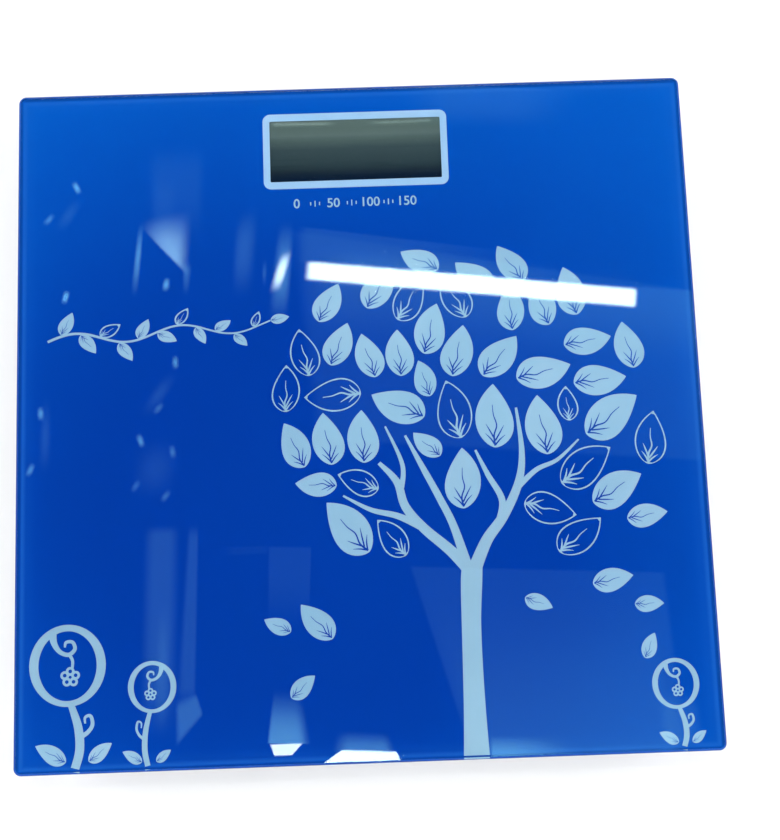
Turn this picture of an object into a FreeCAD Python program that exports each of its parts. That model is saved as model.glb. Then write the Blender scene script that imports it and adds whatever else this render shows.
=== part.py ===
"""Digital bathroom scale: a glass platform on a plastic base tray with four load-cell feet.

Millimetres.  The origin is on the floor plane under the middle of the scale, +Z is up and
+Y points at the edge that carries the display.
"""
import FreeCAD, Part
import math
import os
import re
import Sketcher

os.makedirs("parts", exist_ok=True)
doc = FreeCAD.newDocument("bathroom_scale")

# ---------------------------------------------------------------- driving dimensions

DIMENSIONS = {
    # platform and its print
    "side": 280, "height": 24, "glass_thick": 5, "glass_corner": 3, "glass_bevel": 0.9,
    "glass_arris": 0.3, "print_inset": 0.4, "print_thick": 0.15, "print_space": 0.2,
    "tape_thick": 0.8, "tape_wide": 6, "tape_inset": 1.5,
    # display, as printed on the glass and behind it
    "display_x": 1.6, "display_y": 113.3, "border_wide": 78.1, "border_deep": 33.2,
    "border_corner": 3, "window_wide": 72.4, "window_deep": 26.9,
    "lcd_wide": 78, "lcd_deep": 30.5, "lcd_glass": 1.1, "lcd_film": 0.2, "lcd_top_gap": 0.2,
    "lcd_ledge": 3.5, "film_wide": 76.2, "film_deep": 29.6, "reflector_wide": 72,
    "holder_wall": 1.2, "holder_gap": 0.2, "shelf": 2, "shelf_thick": 1.4, "gasket_thick": 0.3,
    "zebra_wide": 66, "zebra_thick": 2,
    # base tray
    "tray_bottom": 5, "tray_floor": 2, "tray_wide": 270, "tray_base_wide": 262,
    "tray_corner": 8, "tray_wall": 3, "tray_edge_round": 3, "rib": 1.6, "rib_top": 16,
    "gusset_deep": 6, "gusset_pitch": 44,
    # feet
    "foot_place": 102, "foot_radius": 17, "foot_hole_radius": 18, "flange_radius": 20.5,
    "flange_thick": 1.5, "foot_lift": 0.8, "foot_wall": 2, "foot_base": 2.6,
    "post_radius": 4.5, "pad_radius": 13, "pad_thick": 2, "pad_recess": 0.8, "pad_round": 0.5,
    "guard_radius": 22, "guard_wall": 1.5, "guard_top": 10,
    # load cells and their retainers
    "cell_side": 34, "cell_corner": 3, "cell_thick": 2.5, "cell_level": 10.5,
    "tongue_wide": 12, "tongue_end": 9, "cell_slot": 1.8, "cell_root": 9,
    "retainer_side": 40, "retainer_corner": 4, "retainer_plate": 2, "retainer_window": 26,
    "retainer_gap": 0.2, "wire_notch": 5.4, "ear_place": 20.5, "ear_radius": 3.5,
    # screws and bosses
    "boss_radius": 3.2, "pilot_radius": 1.15, "shank_radius": 1.05, "shank_long": 7,
    "head_radius": 2.1, "head_thick": 1.4, "drive_radius": 0.9, "drive_deep": 0.8,
    # circuit board
    "board_wide": 96, "board_deep": 44, "board_y": 107.3, "board_level": 12,
    "board_thick": 1.6, "board_screw_x": 43.2, "board_screw_y": 11,
    # unit button and its switch
    "button_x": 32, "button_y": 91.5, "button_radius": 4.5, "button_gap": 0.2,
    "button_sunk": 0.1, "button_flange": 6, "button_flange_thick": 0.85,
    "switch_side": 6, "switch_tall": 3.5, "plunger_radius": 1.7, "plunger_long": 1.1,
    "plunger_gap": 0.1, "plunger_room": 0.4,
    # battery compartment
    "bay_y": 10, "bay_half": 26, "bay_deep_half": 11.4, "bay_wall": 1.4, "bay_roof": 17.3,
    "bay_roof_thick": 1, "cell_long": 44.5, "cell_radius": 5.25, "cell_apart": 11.2,
    "cell_axis": 11.85, "nub_radius": 1.9, "nub_long": 0.8,
    "contact_thick": 0.4, "contact_half": 4.5, "contact_gap": 0.1, "tab_level": 15.2,
    "tab_reach": 28.9, "tab_half": 1.5,
    "coil_wire": 0.35, "coil_wide": 3.6, "coil_narrow": 2.2, "coil_turns": 3.5,
    "coil_end": 19,
    # battery door
    "door_left": 29, "door_right": 28.35, "door_half": 13.5, "door_thick": 1.4,
    "door_gap": 0.3, "hook_place": 8, "hook_half": 2.5, "hook_slot_half": 3,
    "hook_thick": 0.8, "hook_level": 7.3, "hook_top": 8.4, "hook_tip": 31,
    "slot_top": 9.9, "grip_wide": 12, "grip_deep": 0.3, "grip_pitch": 2.2,
    # door latch: a sprung U with a nib
    "latch_half": 4.5, "latch_slot_half": 5.6, "arm_thick": 0.75, "bend_inner": 1.05,
    "bend_level": 11, "nib_reach": 1, "nib_level": 7.3, "nib_tall": 1.2,
    "latch_edge": 31.8, "finger_radius": 9, "finger_deep": 1,
    # label and wires
    "label_wide": 70, "label_deep": 40, "label_y": -70, "label_thick": 0.12,
    "wire_thick": 0.9, "wire_apart": 1.3,
}

sheet = doc.addObject("Spreadsheet::Sheet", "Dims")
for row, (alias, size) in enumerate(DIMENSIONS.items(), start=1):
    sheet.set(f"A{row}", alias)
    sheet.set(f"B{row}", str(size))
    sheet.setAlias(f"B{row}", alias)
doc.recompute()

# Places worked out from the driving dimensions, as formulas of their aliases
GLASS_LEVEL = "(height - glass_thick)"
PRINT_LEVEL = "(height - glass_thick - print_space)"
TRAY_TOP = "(height - glass_thick - print_space - tape_thick)"
FLOOR_TOP = "(tray_bottom + tray_floor)"
CELL_TOP = "(cell_level + cell_thick)"
BOARD_TOP = "(board_level + board_thick)"
LCD_TOP = "(height - glass_thick - print_space - lcd_top_gap)"
HOLDER_TOP = "(height - glass_thick - print_space - gasket_thick)"
LCD_FRONT = f"({LCD_TOP} - lcd_film - lcd_glass)"
LCD_REAR = f"({LCD_TOP} - lcd_film - 2 * lcd_glass)"
REAR_DEEP = "(lcd_deep - lcd_ledge)"
REAR_Y = "(display_y + lcd_ledge / 2)"
PAD_FLOOR = "(pad_thick - pad_recess)"
FLANGE_LEVEL = f"({FLOOR_TOP} + foot_lift)"
BUTTON_LEVEL = "(tray_bottom + button_sunk)"
BUTTON_TOP = f"({FLOOR_TOP} + 0.05 + button_flange_thick)"
SWITCH_LEVEL = "(board_level - switch_tall)"
BEND_X = "(door_right + bend_inner)"
RIM_CORNER = "(tray_corner + (tray_wide - tray_base_wide) / 2)"

COIL_STEPS = 8  # points of a spring's line in each turn

CORNERS = {
    "front_left": (-1, 1), "front_right": (1, 1),
    "rear_left": (-1, -1), "rear_right": (1, -1),
}


# ---------------------------------------------------------------- drawing helpers

def formula(text):
    """Turn 'side / 2' into the expression 'Dims.side / 2'."""
    return re.sub(r"[a-z][a-z_]+", lambda word: "Dims." + word.group(), str(text))


def number(text):
    """The value of a formula, in millimetres."""
    return float(sheet.evalExpression(formula(text)))


def bind(item, prop, text):
    item.setExpression(prop, formula(text))


def new_body(label):
    body = doc.addObject("PartDesign::Body", label)
    body.Label = label
    return body


def new_sketch(body, name, level="0", role="XY_Plane"):
    """A sketch on one of the body's own origin planes, raised by level."""
    sketch = body.newObject("Sketcher::SketchObject", name)
    plane = next(item for item in body.Origin.OriginFeatures if item.Role == role)
    sketch.AttachmentSupport = [(plane, "")]
    sketch.MapMode = "FlatFace"
    bind(sketch, "AttachmentOffset.Base.z", level)
    return sketch


def hold_point(sketch, item, point, x, y):
    """Tie a point of a sketch item to a place given by two formulas."""
    for kind, place in (("DistanceX", x), ("DistanceY", y)):
        rule = Sketcher.Constraint(kind, -1, 1, item, point, number(place))
        bind(sketch, f"Constraints[{sketch.addConstraint(rule)}]", place)


def draw_circle(sketch, x, y, radius):
    centre = FreeCAD.Vector(number(x), number(y), 0)
    circle = Part.Circle(centre, FreeCAD.Vector(0, 0, 1), number(radius))
    item = sketch.addGeometry(circle)
    hold_point(sketch, item, 3, x, y)
    rule = Sketcher.Constraint("Radius", item, number(radius))
    bind(sketch, f"Constraints[{sketch.addConstraint(rule)}]", radius)


def draw_polygon(sketch, points):
    """A closed outline of straight lines through points given by formulas."""
    places = [FreeCAD.Vector(number(x), number(y), 0) for x, y in points]
    items = []
    for place, following in zip(places, places[1:] + places[:1]):
        items.append(sketch.addGeometry(Part.LineSegment(place, following)))
    for item, following in zip(items, items[1:] + items[:1]):
        sketch.addConstraint(Sketcher.Constraint("Coincident", item, 2, following, 1))
    for item, (x, y) in zip(items, points):
        hold_point(sketch, item, 1, x, y)


def draw_rectangle(sketch, x, y, wide, deep):
    low_x, high_x = f"{x} - ({wide}) / 2", f"{x} + ({wide}) / 2"
    low_y, high_y = f"{y} - ({deep}) / 2", f"{y} + ({deep}) / 2"
    draw_polygon(sketch, [(low_x, low_y), (high_x, low_y), (high_x, high_y), (low_x, high_y)])


def draw_rounded_rectangle(sketch, x, y, wide, deep, radius):
    """Four corner arcs joined by tangent lines."""
    arcs = []
    for side_x, side_y, start in ((1, -1, -90), (1, 1, 0), (-1, 1, 90), (-1, -1, 180)):
        centre_x = f"{x} + {side_x} * (({wide}) / 2 - ({radius}))"
        centre_y = f"{y} + {side_y} * (({deep}) / 2 - ({radius}))"
        centre = FreeCAD.Vector(number(centre_x), number(centre_y), 0)
        circle = Part.Circle(centre, FreeCAD.Vector(0, 0, 1), number(radius))
        ends = (math.radians(start), math.radians(start + 90))
        arc = sketch.addGeometry(Part.ArcOfCircle(circle, *ends))
        hold_point(sketch, arc, 3, centre_x, centre_y)
        arcs.append(arc)
    for arc, following in zip(arcs, arcs[1:] + arcs[:1]):
        start = sketch.Geometry[arc].EndPoint
        end = sketch.Geometry[following].StartPoint
        line = sketch.addGeometry(Part.LineSegment(start, end))
        sketch.addConstraint(Sketcher.Constraint("Tangent", arc, 2, line, 1))
        sketch.addConstraint(Sketcher.Constraint("Tangent", line, 2, following, 1))
    rule = Sketcher.Constraint("Radius", arcs[0], number(radius))
    bind(sketch, f"Constraints[{sketch.addConstraint(rule)}]", radius)


def pad(body, sketch, tall):
    """Raise a sketch along its plane's normal."""
    feature = body.newObject("PartDesign::Pad", sketch.Name + "_pad")
    feature.Profile = sketch
    bind(feature, "Length", tall)
    return feature


def pocket(body, sketch, deep):
    """Cut a sketch into the body along its plane's normal."""
    feature = body.newObject("PartDesign::Pocket", sketch.Name + "_pocket")
    feature.Profile = sketch
    feature.Reversed = True
    bind(feature, "Length", deep)
    return feature


def loft(body, kind, lower, upper):
    feature = body.newObject(kind, lower.Name + "_loft")
    feature.Profile = lower
    feature.Sections = [upper]
    feature.Ruled = True
    return feature


def box(body, name, low, high, kind="PartDesign::AdditiveBox"):
    """A block between two corners, each three formulas."""
    plane = next(item for item in body.Origin.OriginFeatures if item.Role == "XY_Plane")
    feature = body.newObject(kind, name)
    feature.AttachmentSupport = [(plane, "")]
    feature.MapMode = "FlatFace"
    for axis, size, start, end in zip("xyz", ("Length", "Width", "Height"), low, high):
        bind(feature, f"AttachmentOffset.Base.{axis}", start)
        bind(feature, size, f"({end}) - ({start})")
    return feature


def cut_box(body, name, low, high):
    return box(body, name, low, high, "PartDesign::SubtractiveBox")


def turned_body(label, outline):
    """A solid of revolution about its own Z from (radius, level) formulas."""
    body = new_body(label)
    sketch = new_sketch(body, "profile", role="XZ_Plane")
    draw_polygon(sketch, outline)
    feature = body.newObject("PartDesign::Revolution", "turned")
    feature.Profile = sketch
    feature.ReferenceAxis = (sketch, ["V_Axis"])
    feature.Angle = 360
    return body


def soften(body, kind, prop, size, pick):
    """Fillet or chamfer the edges of the body's last feature that pick accepts."""
    doc.recompute()
    base = body.Tip
    edges = [f"Edge{i}" for i, edge in enumerate(base.Shape.Edges, 1) if pick(edge.BoundBox)]
    feature = body.newObject(kind, "softened")
    feature.Base = (base, edges)
    bind(feature, prop, size)
    return feature


def fillet(body, radius, pick):
    return soften(body, "PartDesign::Fillet", "Radius", radius, pick)


def chamfer(body, size, pick):
    return soften(body, "PartDesign::Chamfer", "Size", size, pick)


def flat_at(level):
    """Accepts edges that lie wholly at one level."""
    height = number(level)
    return lambda bounds: abs(bounds.ZMin - height) < 1e-4 and abs(bounds.ZMax - height) < 1e-4


def plate(label, level, thick, draw):
    """A flat piece: draw adds its outline to the sketch."""
    body = new_body(label)
    sketch = new_sketch(body, "outline", level)
    draw(sketch)
    pad(body, sketch, thick)
    return body


def place(body, x, y, turn=0):
    bind(body, "Placement.Base.x", x)
    bind(body, "Placement.Base.y", y)
    body.Placement.Rotation = FreeCAD.Rotation(FreeCAD.Vector(0, 0, 1), turn)


# ---------------------------------------------------------------- platform

def make_platform():
    body = plate("glass_platform", GLASS_LEVEL, "glass_thick", lambda sketch:
                 draw_rounded_rectangle(sketch, "0", "0", "side", "side", "glass_corner"))
    chamfer(body, "glass_bevel", flat_at("height"))
    chamfer(body, "glass_arris", flat_at(GLASS_LEVEL))


def make_prints():
    """The enamel on the back of the glass, and the printed border of the display window."""
    def backing(sketch):
        wide = "side - 2 * print_inset"
        draw_rounded_rectangle(sketch, "0", "0", wide, wide, "glass_corner - print_inset")
        draw_rounded_rectangle(sketch, "display_x", "display_y", "border_wide + 0.1",
                               "border_deep + 0.1", "border_corner")

    def border(sketch):
        draw_rounded_rectangle(sketch, "display_x", "display_y", "border_wide",
                               "border_deep", "border_corner")
        draw_rectangle(sketch, "display_x", "display_y", "window_wide", "window_deep")

    plate("printed_backing", PRINT_LEVEL, "print_thick", backing)
    plate("display_border", PRINT_LEVEL, "print_thick", border)


def make_tape():
    def ring(sketch):
        outer = "tray_wide - 2 * tape_inset"
        inner = "tray_wide - 2 * tape_inset - 2 * tape_wide"
        draw_rounded_rectangle(sketch, "0", "0", outer, outer, f"{RIM_CORNER} - tape_inset")
        draw_rounded_rectangle(sketch, "0", "0", inner, inner, f"{RIM_CORNER} - tape_wide")

    body = plate("bonding_tape", TRAY_TOP, "tape_thick", ring)
    # the tape is narrowed where the display holder comes near the wall
    cut_box(body, "display_relief",
            ("display_x - lcd_wide / 2 - 4", "display_y", TRAY_TOP),
            ("display_x + lcd_wide / 2 + 4", "tray_wide / 2 - tray_wall - 0.6", PRINT_LEVEL))


# ---------------------------------------------------------------- base tray

def ear_places(side_x, side_y):
    """The two screw places of one load-cell retainer, on the diagonal clear of the corner."""
    x, y = f"{side_x} * foot_place", f"{side_y} * foot_place"
    across = f"{side_x} * ear_place"
    along = f"{side_y} * ear_place"
    return [(f"{x} + {across}", f"{y} - {along}"), (f"{x} - {across}", f"{y} + {along}")]


def board_screw_places():
    return [(f"display_x + {i} * board_screw_x", f"display_y + {j} * board_screw_y")
            for i in (-1, 1) for j in (-1, 1)]


def tray_shell(body):
    """The drafted outer block with its rounded lower edge, hollowed from above."""
    base = new_sketch(body, "outer_base", "tray_bottom")
    draw_rounded_rectangle(base, "0", "0", "tray_base_wide", "tray_base_wide", "tray_corner")
    block = pad(body, base, f"{TRAY_TOP} - tray_bottom")
    spread = formula(f"(tray_wide - tray_base_wide) / 2 / ({TRAY_TOP} - tray_bottom)")
    block.setExpression("TaperAngle", f"atan({spread})")
    fillet(body, "tray_edge_round", flat_at("tray_bottom"))
    draft = f"(tray_wide - tray_base_wide) / ({TRAY_TOP} - tray_bottom) * tray_floor"
    floor = new_sketch(body, "inner_floor", FLOOR_TOP)
    inner_base = f"tray_base_wide + {draft} - 2 * tray_wall"
    draw_rounded_rectangle(floor, "0", "0", inner_base, inner_base,
                           f"tray_corner + {draft} / 2 - tray_wall")
    rim = new_sketch(body, "inner_rim", TRAY_TOP)
    inner_rim = "tray_wide - 2 * tray_wall"
    draw_rounded_rectangle(rim, "0", "0", inner_rim, inner_rim, f"{RIM_CORNER} - tray_wall")
    loft(body, "PartDesign::SubtractiveLoft", floor, rim)


def tray_ribs(body):
    """Stiffening ribs on the floor, clear of the wires, and gussets that carry the tape."""
    ribs = new_sketch(body, "ribs", FLOOR_TOP)
    for side_x in (-1, 1):
        draw_rectangle(ribs, f"{side_x} * 50", "-33", "rib", "186")
    for y in ("-50", "-95"):
        draw_rectangle(ribs, "0", y, "100 - rib", "rib")
    draw_rectangle(ribs, "-20", "45", "60 - rib", "rib")
    pad(body, ribs, f"rib_top - {FLOOR_TOP}")
    gussets = new_sketch(body, "gussets", FLOOR_TOP)
    wall = "(tray_base_wide / 2 + 0.4 - gusset_deep / 2)"
    for step in (-1, 0, 1):
        for side in (-1, 1):
            along = f"{step} * gusset_pitch"
            draw_rectangle(gussets, f"{side} * {wall}", along, "gusset_deep", "rib")
        draw_rectangle(gussets, along, f"-1 * {wall}", "rib", "gusset_deep")
    pad(body, gussets, f"{TRAY_TOP} - {FLOOR_TOP}")


def tray_bosses(body):
    """Screw bosses, the guard rings round the feet, then the holes in all of them."""
    guards = new_sketch(body, "foot_guards", FLOOR_TOP)
    holes = new_sketch(body, "foot_holes", "tray_bottom")
    retainer_bosses = new_sketch(body, "retainer_bosses", FLOOR_TOP)
    for side_x, side_y in CORNERS.values():
        centre = (f"{side_x} * foot_place", f"{side_y} * foot_place")
        draw_circle(guards, *centre, "guard_radius + guard_wall")
        draw_circle(guards, *centre, "guard_radius")
        draw_circle(holes, *centre, "foot_hole_radius")
        for ear in ear_places(side_x, side_y):
            draw_circle(retainer_bosses, *ear, "boss_radius")
            draw_circle(retainer_bosses, *ear, "pilot_radius")
    pad(body, guards, f"guard_top - {FLOOR_TOP}")
    pad(body, retainer_bosses, f"cell_level - {FLOOR_TOP}")
    board_bosses = new_sketch(body, "board_bosses", FLOOR_TOP)
    for spot in board_screw_places():
        draw_circle(board_bosses, *spot, "boss_radius")
        draw_circle(board_bosses, *spot, "pilot_radius")
    pad(body, board_bosses, f"board_level - {FLOOR_TOP}")
    pocket(body, holes, "tray_floor")


def tray_battery_bay(body):
    """Walls and roof of the compartment, its cavity, and the slots for contacts and door."""
    outer_x, outer_y = "(bay_half + bay_wall)", "(bay_deep_half + bay_wall)"
    box(body, "bay_block", (f"-1 * {outer_x}", f"bay_y - {outer_y}", FLOOR_TOP),
        (outer_x, f"bay_y + {outer_y}", "bay_roof + bay_roof_thick"))
    cut_box(body, "bay_cavity", ("-bay_half", "bay_y - bay_deep_half", "tray_bottom"),
            ("bay_half", "bay_y + bay_deep_half", "bay_roof"))
    cut_box(body, "door_seat",
            ("-(door_left + door_gap)", "bay_y - door_half - door_gap", "tray_bottom"),
            ("door_right + 0.25", "bay_y + door_half + door_gap",
             "tray_bottom + door_thick + 0.1"))
    for side in (-1, 1):
        y = f"bay_y + {side} * hook_place"
        cut_box(body, "hook_slot", ("-(door_left + door_gap)", f"{y} - hook_slot_half",
                "tray_bottom"), ("-bay_half", f"{y} + hook_slot_half", "slot_top"))
        tab_y = f"bay_y + {side} * cell_apart / 2"
        cut_box(body, "tab_slot", ("bay_half", f"{tab_y} - tab_half - 0.3", "tab_level - 0.2"),
                (outer_x, f"{tab_y} + tab_half + 0.3", "tab_level + contact_thick + 0.2"))
    cut_box(body, "latch_opening", (outer_x, "bay_y - latch_slot_half", "tray_bottom"),
            ("latch_edge", "bay_y + latch_slot_half", FLOOR_TOP))
    scoop = new_sketch(body, "finger_scoop", "tray_bottom")
    draw_circle(scoop, "latch_edge", "bay_y", "finger_radius")
    pocket(body, scoop, "finger_deep")


def make_tray():
    body = new_body("base_tray")
    tray_shell(body)
    tray_ribs(body)
    tray_bosses(body)
    tray_battery_bay(body)
    hole = new_sketch(body, "button_hole", "tray_bottom")
    draw_circle(hole, "button_x", "button_y", "button_radius + button_gap")
    pocket(body, hole, "tray_floor")


# ---------------------------------------------------------------- feet

def make_foot(corner, side_x, side_y):
    """A cup that pushes the load cell's tongue, on a rubber pad let into its underside."""
    spot = (f"{side_x} * foot_place", f"{side_y} * foot_place")
    underside, seat = PAD_FLOOR, "pad_thick"
    inside = f"{PAD_FLOOR} + foot_base"
    flange_top = f"{FLANGE_LEVEL} + flange_thick"
    bore = "(foot_radius - foot_wall)"
    foot = turned_body(f"foot_{corner}", [
        ("0", seat), ("pad_radius + 0.1", seat), ("pad_radius + 0.1", underside),
        ("foot_radius - 0.8", underside), ("foot_radius", f"{underside} + 0.8"),
        ("foot_radius", FLANGE_LEVEL), ("flange_radius", FLANGE_LEVEL),
        ("flange_radius", flange_top), (bore, flange_top), (bore, inside),
        ("post_radius", inside), ("post_radius", "cell_level"), ("0", "cell_level")])
    ribs = new_sketch(foot, "webs", inside)
    web = f"({bore} + 0.5 - post_radius / 2)"
    middle = f"({bore} + 0.5 + post_radius / 2) / 2"
    for side in (-1, 1):
        draw_rectangle(ribs, f"{side} * {middle}", "0", web, "rib")
        draw_rectangle(ribs, "0", f"{side} * {middle}", "rib", web)
    pad(foot, ribs, f"{FLANGE_LEVEL} - ({inside})")
    place(foot, *spot)
    rubber = turned_body(f"foot_pad_{corner}", [
        ("0", "0"), ("pad_radius - pad_round", "0"), ("pad_radius", "pad_round"),
        ("pad_radius", "pad_thick"), ("0", "pad_thick")])
    place(rubber, *spot)


# ---------------------------------------------------------------- load cells

def make_load_cell(corner, side_x, side_y):
    """A steel square with a tongue cut free on three sides; its root faces the middle."""
    body = new_body(f"load_cell_{corner}")
    blank = new_sketch(body, "blank", "cell_level")
    draw_rounded_rectangle(blank, "0", "0", "cell_side", "cell_side", "cell_corner")
    pad(body, blank, "cell_thick")
    slot = new_sketch(body, "slot", "cell_level")
    inner, outer = "tongue_wide / 2", "(tongue_wide / 2 + cell_slot)"
    draw_polygon(slot, [
        (f"-{outer}", "cell_root"), (f"-{outer}", "-tongue_end - cell_slot"),
        (outer, "-tongue_end - cell_slot"), (outer, "cell_root"), (inner, "cell_root"),
        (inner, "-tongue_end"), (f"-{inner}", "-tongue_end"), (f"-{inner}", "cell_root")])
    pocket(body, slot, "cell_thick")
    place(body, f"{side_x} * foot_place", f"{side_y} * foot_place", 90 + 90 * side_y)


def make_strain_gauges():
    """A film gauge under a bead of sealant near the root of each tongue."""
    body = new_body("strain_gauges")
    sketch = new_sketch(body, "gauges", CELL_TOP)
    for side_x, side_y in CORNERS.values():
        draw_rounded_rectangle(sketch, f"{side_x} * foot_place",
                               f"{side_y} * (foot_place - cell_root / 2)", "8", "6", "1.5")
    pad(body, sketch, "0.4")


def make_retainer(corner, side_x, side_y):
    """The plastic frame that holds one load cell by its rim, screwed to the tray."""
    body = new_body(f"load_cell_retainer_{corner}")
    inside = "cell_side + 2 * retainer_gap"
    skirt = new_sketch(body, "skirt", "cell_level")
    draw_rounded_rectangle(skirt, "0", "0", "retainer_side", "retainer_side",
                           "retainer_corner")
    draw_rounded_rectangle(skirt, "0", "0", inside, inside, "cell_corner")
    pad(body, skirt, "cell_thick")
    frame = new_sketch(body, "frame", CELL_TOP)
    draw_rounded_rectangle(frame, "0", "0", "retainer_side", "retainer_side",
                           "retainer_corner")
    draw_rounded_rectangle(frame, "0", "0", "retainer_window", "retainer_window", "2")
    pad(body, frame, "retainer_plate")
    ears = new_sketch(body, "ears", "cell_level")
    holes = new_sketch(body, "ear_holes", "cell_level")
    for side in (-1, 1):
        spot = (f"{side * side_x} * ear_place", f"{-side * side_y} * ear_place")
        draw_circle(ears, *spot, "ear_radius")
        draw_circle(holes, *spot, "pilot_radius + 0.1")
    pad(body, ears, "cell_thick + retainer_plate")
    corner_room = new_sketch(body, "cell_room", "cell_level")
    draw_rounded_rectangle(corner_room, "0", "0", inside, inside, "cell_corner")
    pocket(body, corner_room, "cell_thick")
    pocket(body, holes, "cell_thick + retainer_plate")
    near = f"{-side_y} * (retainer_window + retainer_side) / 4"
    cut_box(body, "wire_notch_cut",
            ("-wire_notch / 2", f"{near} - 4", CELL_TOP),
            ("wire_notch / 2", f"{near} + 4", f"{CELL_TOP} + retainer_plate"))
    place(body, f"{side_x} * foot_place", f"{side_y} * foot_place")


def make_screws(label, spots, seat, long):
    """Pan-head screws at each spot, with their heads on the seat level."""
    body = new_body(label)
    shanks = new_sketch(body, "shanks", f"{seat} - ({long})")
    heads = new_sketch(body, "heads", seat)
    drives = new_sketch(body, "drives", f"{seat} + head_thick - drive_deep")
    for x, y in spots:
        draw_circle(shanks, x, y, "shank_radius")
        draw_circle(heads, x, y, "head_radius")
        draw_circle(drives, x, y, "drive_radius")
    pad(body, shanks, long)
    pad(body, heads, "head_thick")
    pocket(body, drives, "drive_deep")


# ---------------------------------------------------------------- display and board

def make_display():
    def sheet_of(wide, deep, y="display_y"):
        return lambda sketch: draw_rectangle(sketch, "display_x", y, wide, deep)

    plate("lcd_front_polariser", f"{LCD_TOP} - lcd_film", "lcd_film",
          sheet_of("film_wide", "film_deep"))
    plate("lcd_front_glass", LCD_FRONT, "lcd_glass", sheet_of("lcd_wide", "lcd_deep"))
    plate("lcd_rear_glass", LCD_REAR, "lcd_glass", sheet_of("lcd_wide", REAR_DEEP, REAR_Y))
    plate("lcd_reflector", f"{LCD_REAR} - lcd_film", "lcd_film",
          sheet_of("reflector_wide", f"{REAR_DEEP} - 1", REAR_Y))
    zebra_y = "(display_y - lcd_deep / 2 + lcd_ledge / 2)"
    plate("zebra_connector", BOARD_TOP, f"{LCD_FRONT} - {BOARD_TOP}",
          sheet_of("zebra_wide", "zebra_thick", zebra_y))


def make_display_holder():
    """The frame that keeps the display over the board, with the gasket on its rim."""
    inner_wide, inner_deep = "(lcd_wide + 2 * holder_gap)", "(lcd_deep + 2 * holder_gap)"
    outer_wide = f"({inner_wide} + 2 * holder_wall)"
    outer_deep = f"({inner_deep} + 2 * holder_wall)"
    body = new_body("display_holder")
    wall = new_sketch(body, "wall", BOARD_TOP)
    draw_rectangle(wall, "display_x", "display_y", outer_wide, outer_deep)
    draw_rectangle(wall, "display_x", "display_y", inner_wide, inner_deep)
    pad(body, wall, f"{HOLDER_TOP} - {BOARD_TOP}")
    for side in (-1, 1):
        middle = f"display_x + {side} * ({inner_wide} / 2 - shelf / 2)"
        box(body, "shelf",
            (f"{middle} - shelf / 2 - 0.05", "display_y - 9", f"{LCD_REAR} - shelf_thick"),
            (f"{middle} + shelf / 2 + 0.05", "display_y + 9", LCD_REAR))
    ears = new_sketch(body, "ears", BOARD_TOP)
    holes = new_sketch(body, "ear_holes", BOARD_TOP)
    for x, y in board_screw_places():
        draw_circle(ears, x, y, "ear_radius")
        draw_circle(holes, x, y, "pilot_radius + 0.1")
    pad(body, ears, "shelf_thick")
    room = new_sketch(body, "room", BOARD_TOP)
    draw_rectangle(room, "display_x", "display_y", "lcd_wide - 2 * shelf", inner_deep)
    pocket(body, room, "shelf_thick")
    pocket(body, holes, "shelf_thick")

    def gasket(sketch):
        draw_rectangle(sketch, "display_x", "display_y", outer_wide, outer_deep)
        draw_rectangle(sketch, "display_x", "display_y", "film_wide + 0.4", "film_deep + 0.4")

    plate("display_gasket", HOLDER_TOP, "gasket_thick", gasket)


def make_board():
    body = new_body("circuit_board")
    outline = new_sketch(body, "outline", "board_level")
    draw_rounded_rectangle(outline, "0", "board_y", "board_wide", "board_deep", "1.5")
    for x, y in board_screw_places():
        draw_circle(outline, x, y, "pilot_radius + 0.1")
    pad(body, outline, "board_thick")
    blob = plate("chip_cover", BOARD_TOP, "1.3", lambda sketch:
                 draw_circle(sketch, "-14", "112", "6"))
    fillet(blob, "1", flat_at(f"{BOARD_TOP} + 1.3"))
    body = new_body("board_components")
    sketch = new_sketch(body, "chips", BOARD_TOP)
    for step in range(6):
        draw_rectangle(sketch, f"{6 + 5 * step}", "108", "2", "1.2")
        draw_rectangle(sketch, f"{6 + 5 * step}", "117", "3.2", "1.6")
    draw_rectangle(sketch, "-30", "110", "7", "5")
    pad(body, sketch, "1.1")


def make_switch_and_button():
    body = new_body("unit_switch")
    case = new_sketch(body, "case", SWITCH_LEVEL)
    draw_rectangle(case, "button_x", "button_y", "switch_side", "switch_side")
    pad(body, case, "switch_tall")
    well = new_sketch(body, "well", SWITCH_LEVEL)
    draw_circle(well, "button_x", "button_y", "plunger_radius + plunger_gap")
    pocket(body, well, f"{BUTTON_TOP} + plunger_long + plunger_room - {SWITCH_LEVEL}")
    plate("unit_switch_plunger", BUTTON_TOP, "plunger_long", lambda sketch:
          draw_circle(sketch, "button_x", "button_y", "plunger_radius"))
    button = turned_body("unit_button", [
        ("0", BUTTON_LEVEL), ("button_radius - 0.4", BUTTON_LEVEL),
        ("button_radius", f"{BUTTON_LEVEL} + 0.4"), ("button_radius", f"{FLOOR_TOP} + 0.05"),
        ("button_flange", f"{FLOOR_TOP} + 0.05"), ("button_flange", BUTTON_TOP),
        ("0", BUTTON_TOP)])
    place(button, "button_x", "button_y")


# ---------------------------------------------------------------- batteries

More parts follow.
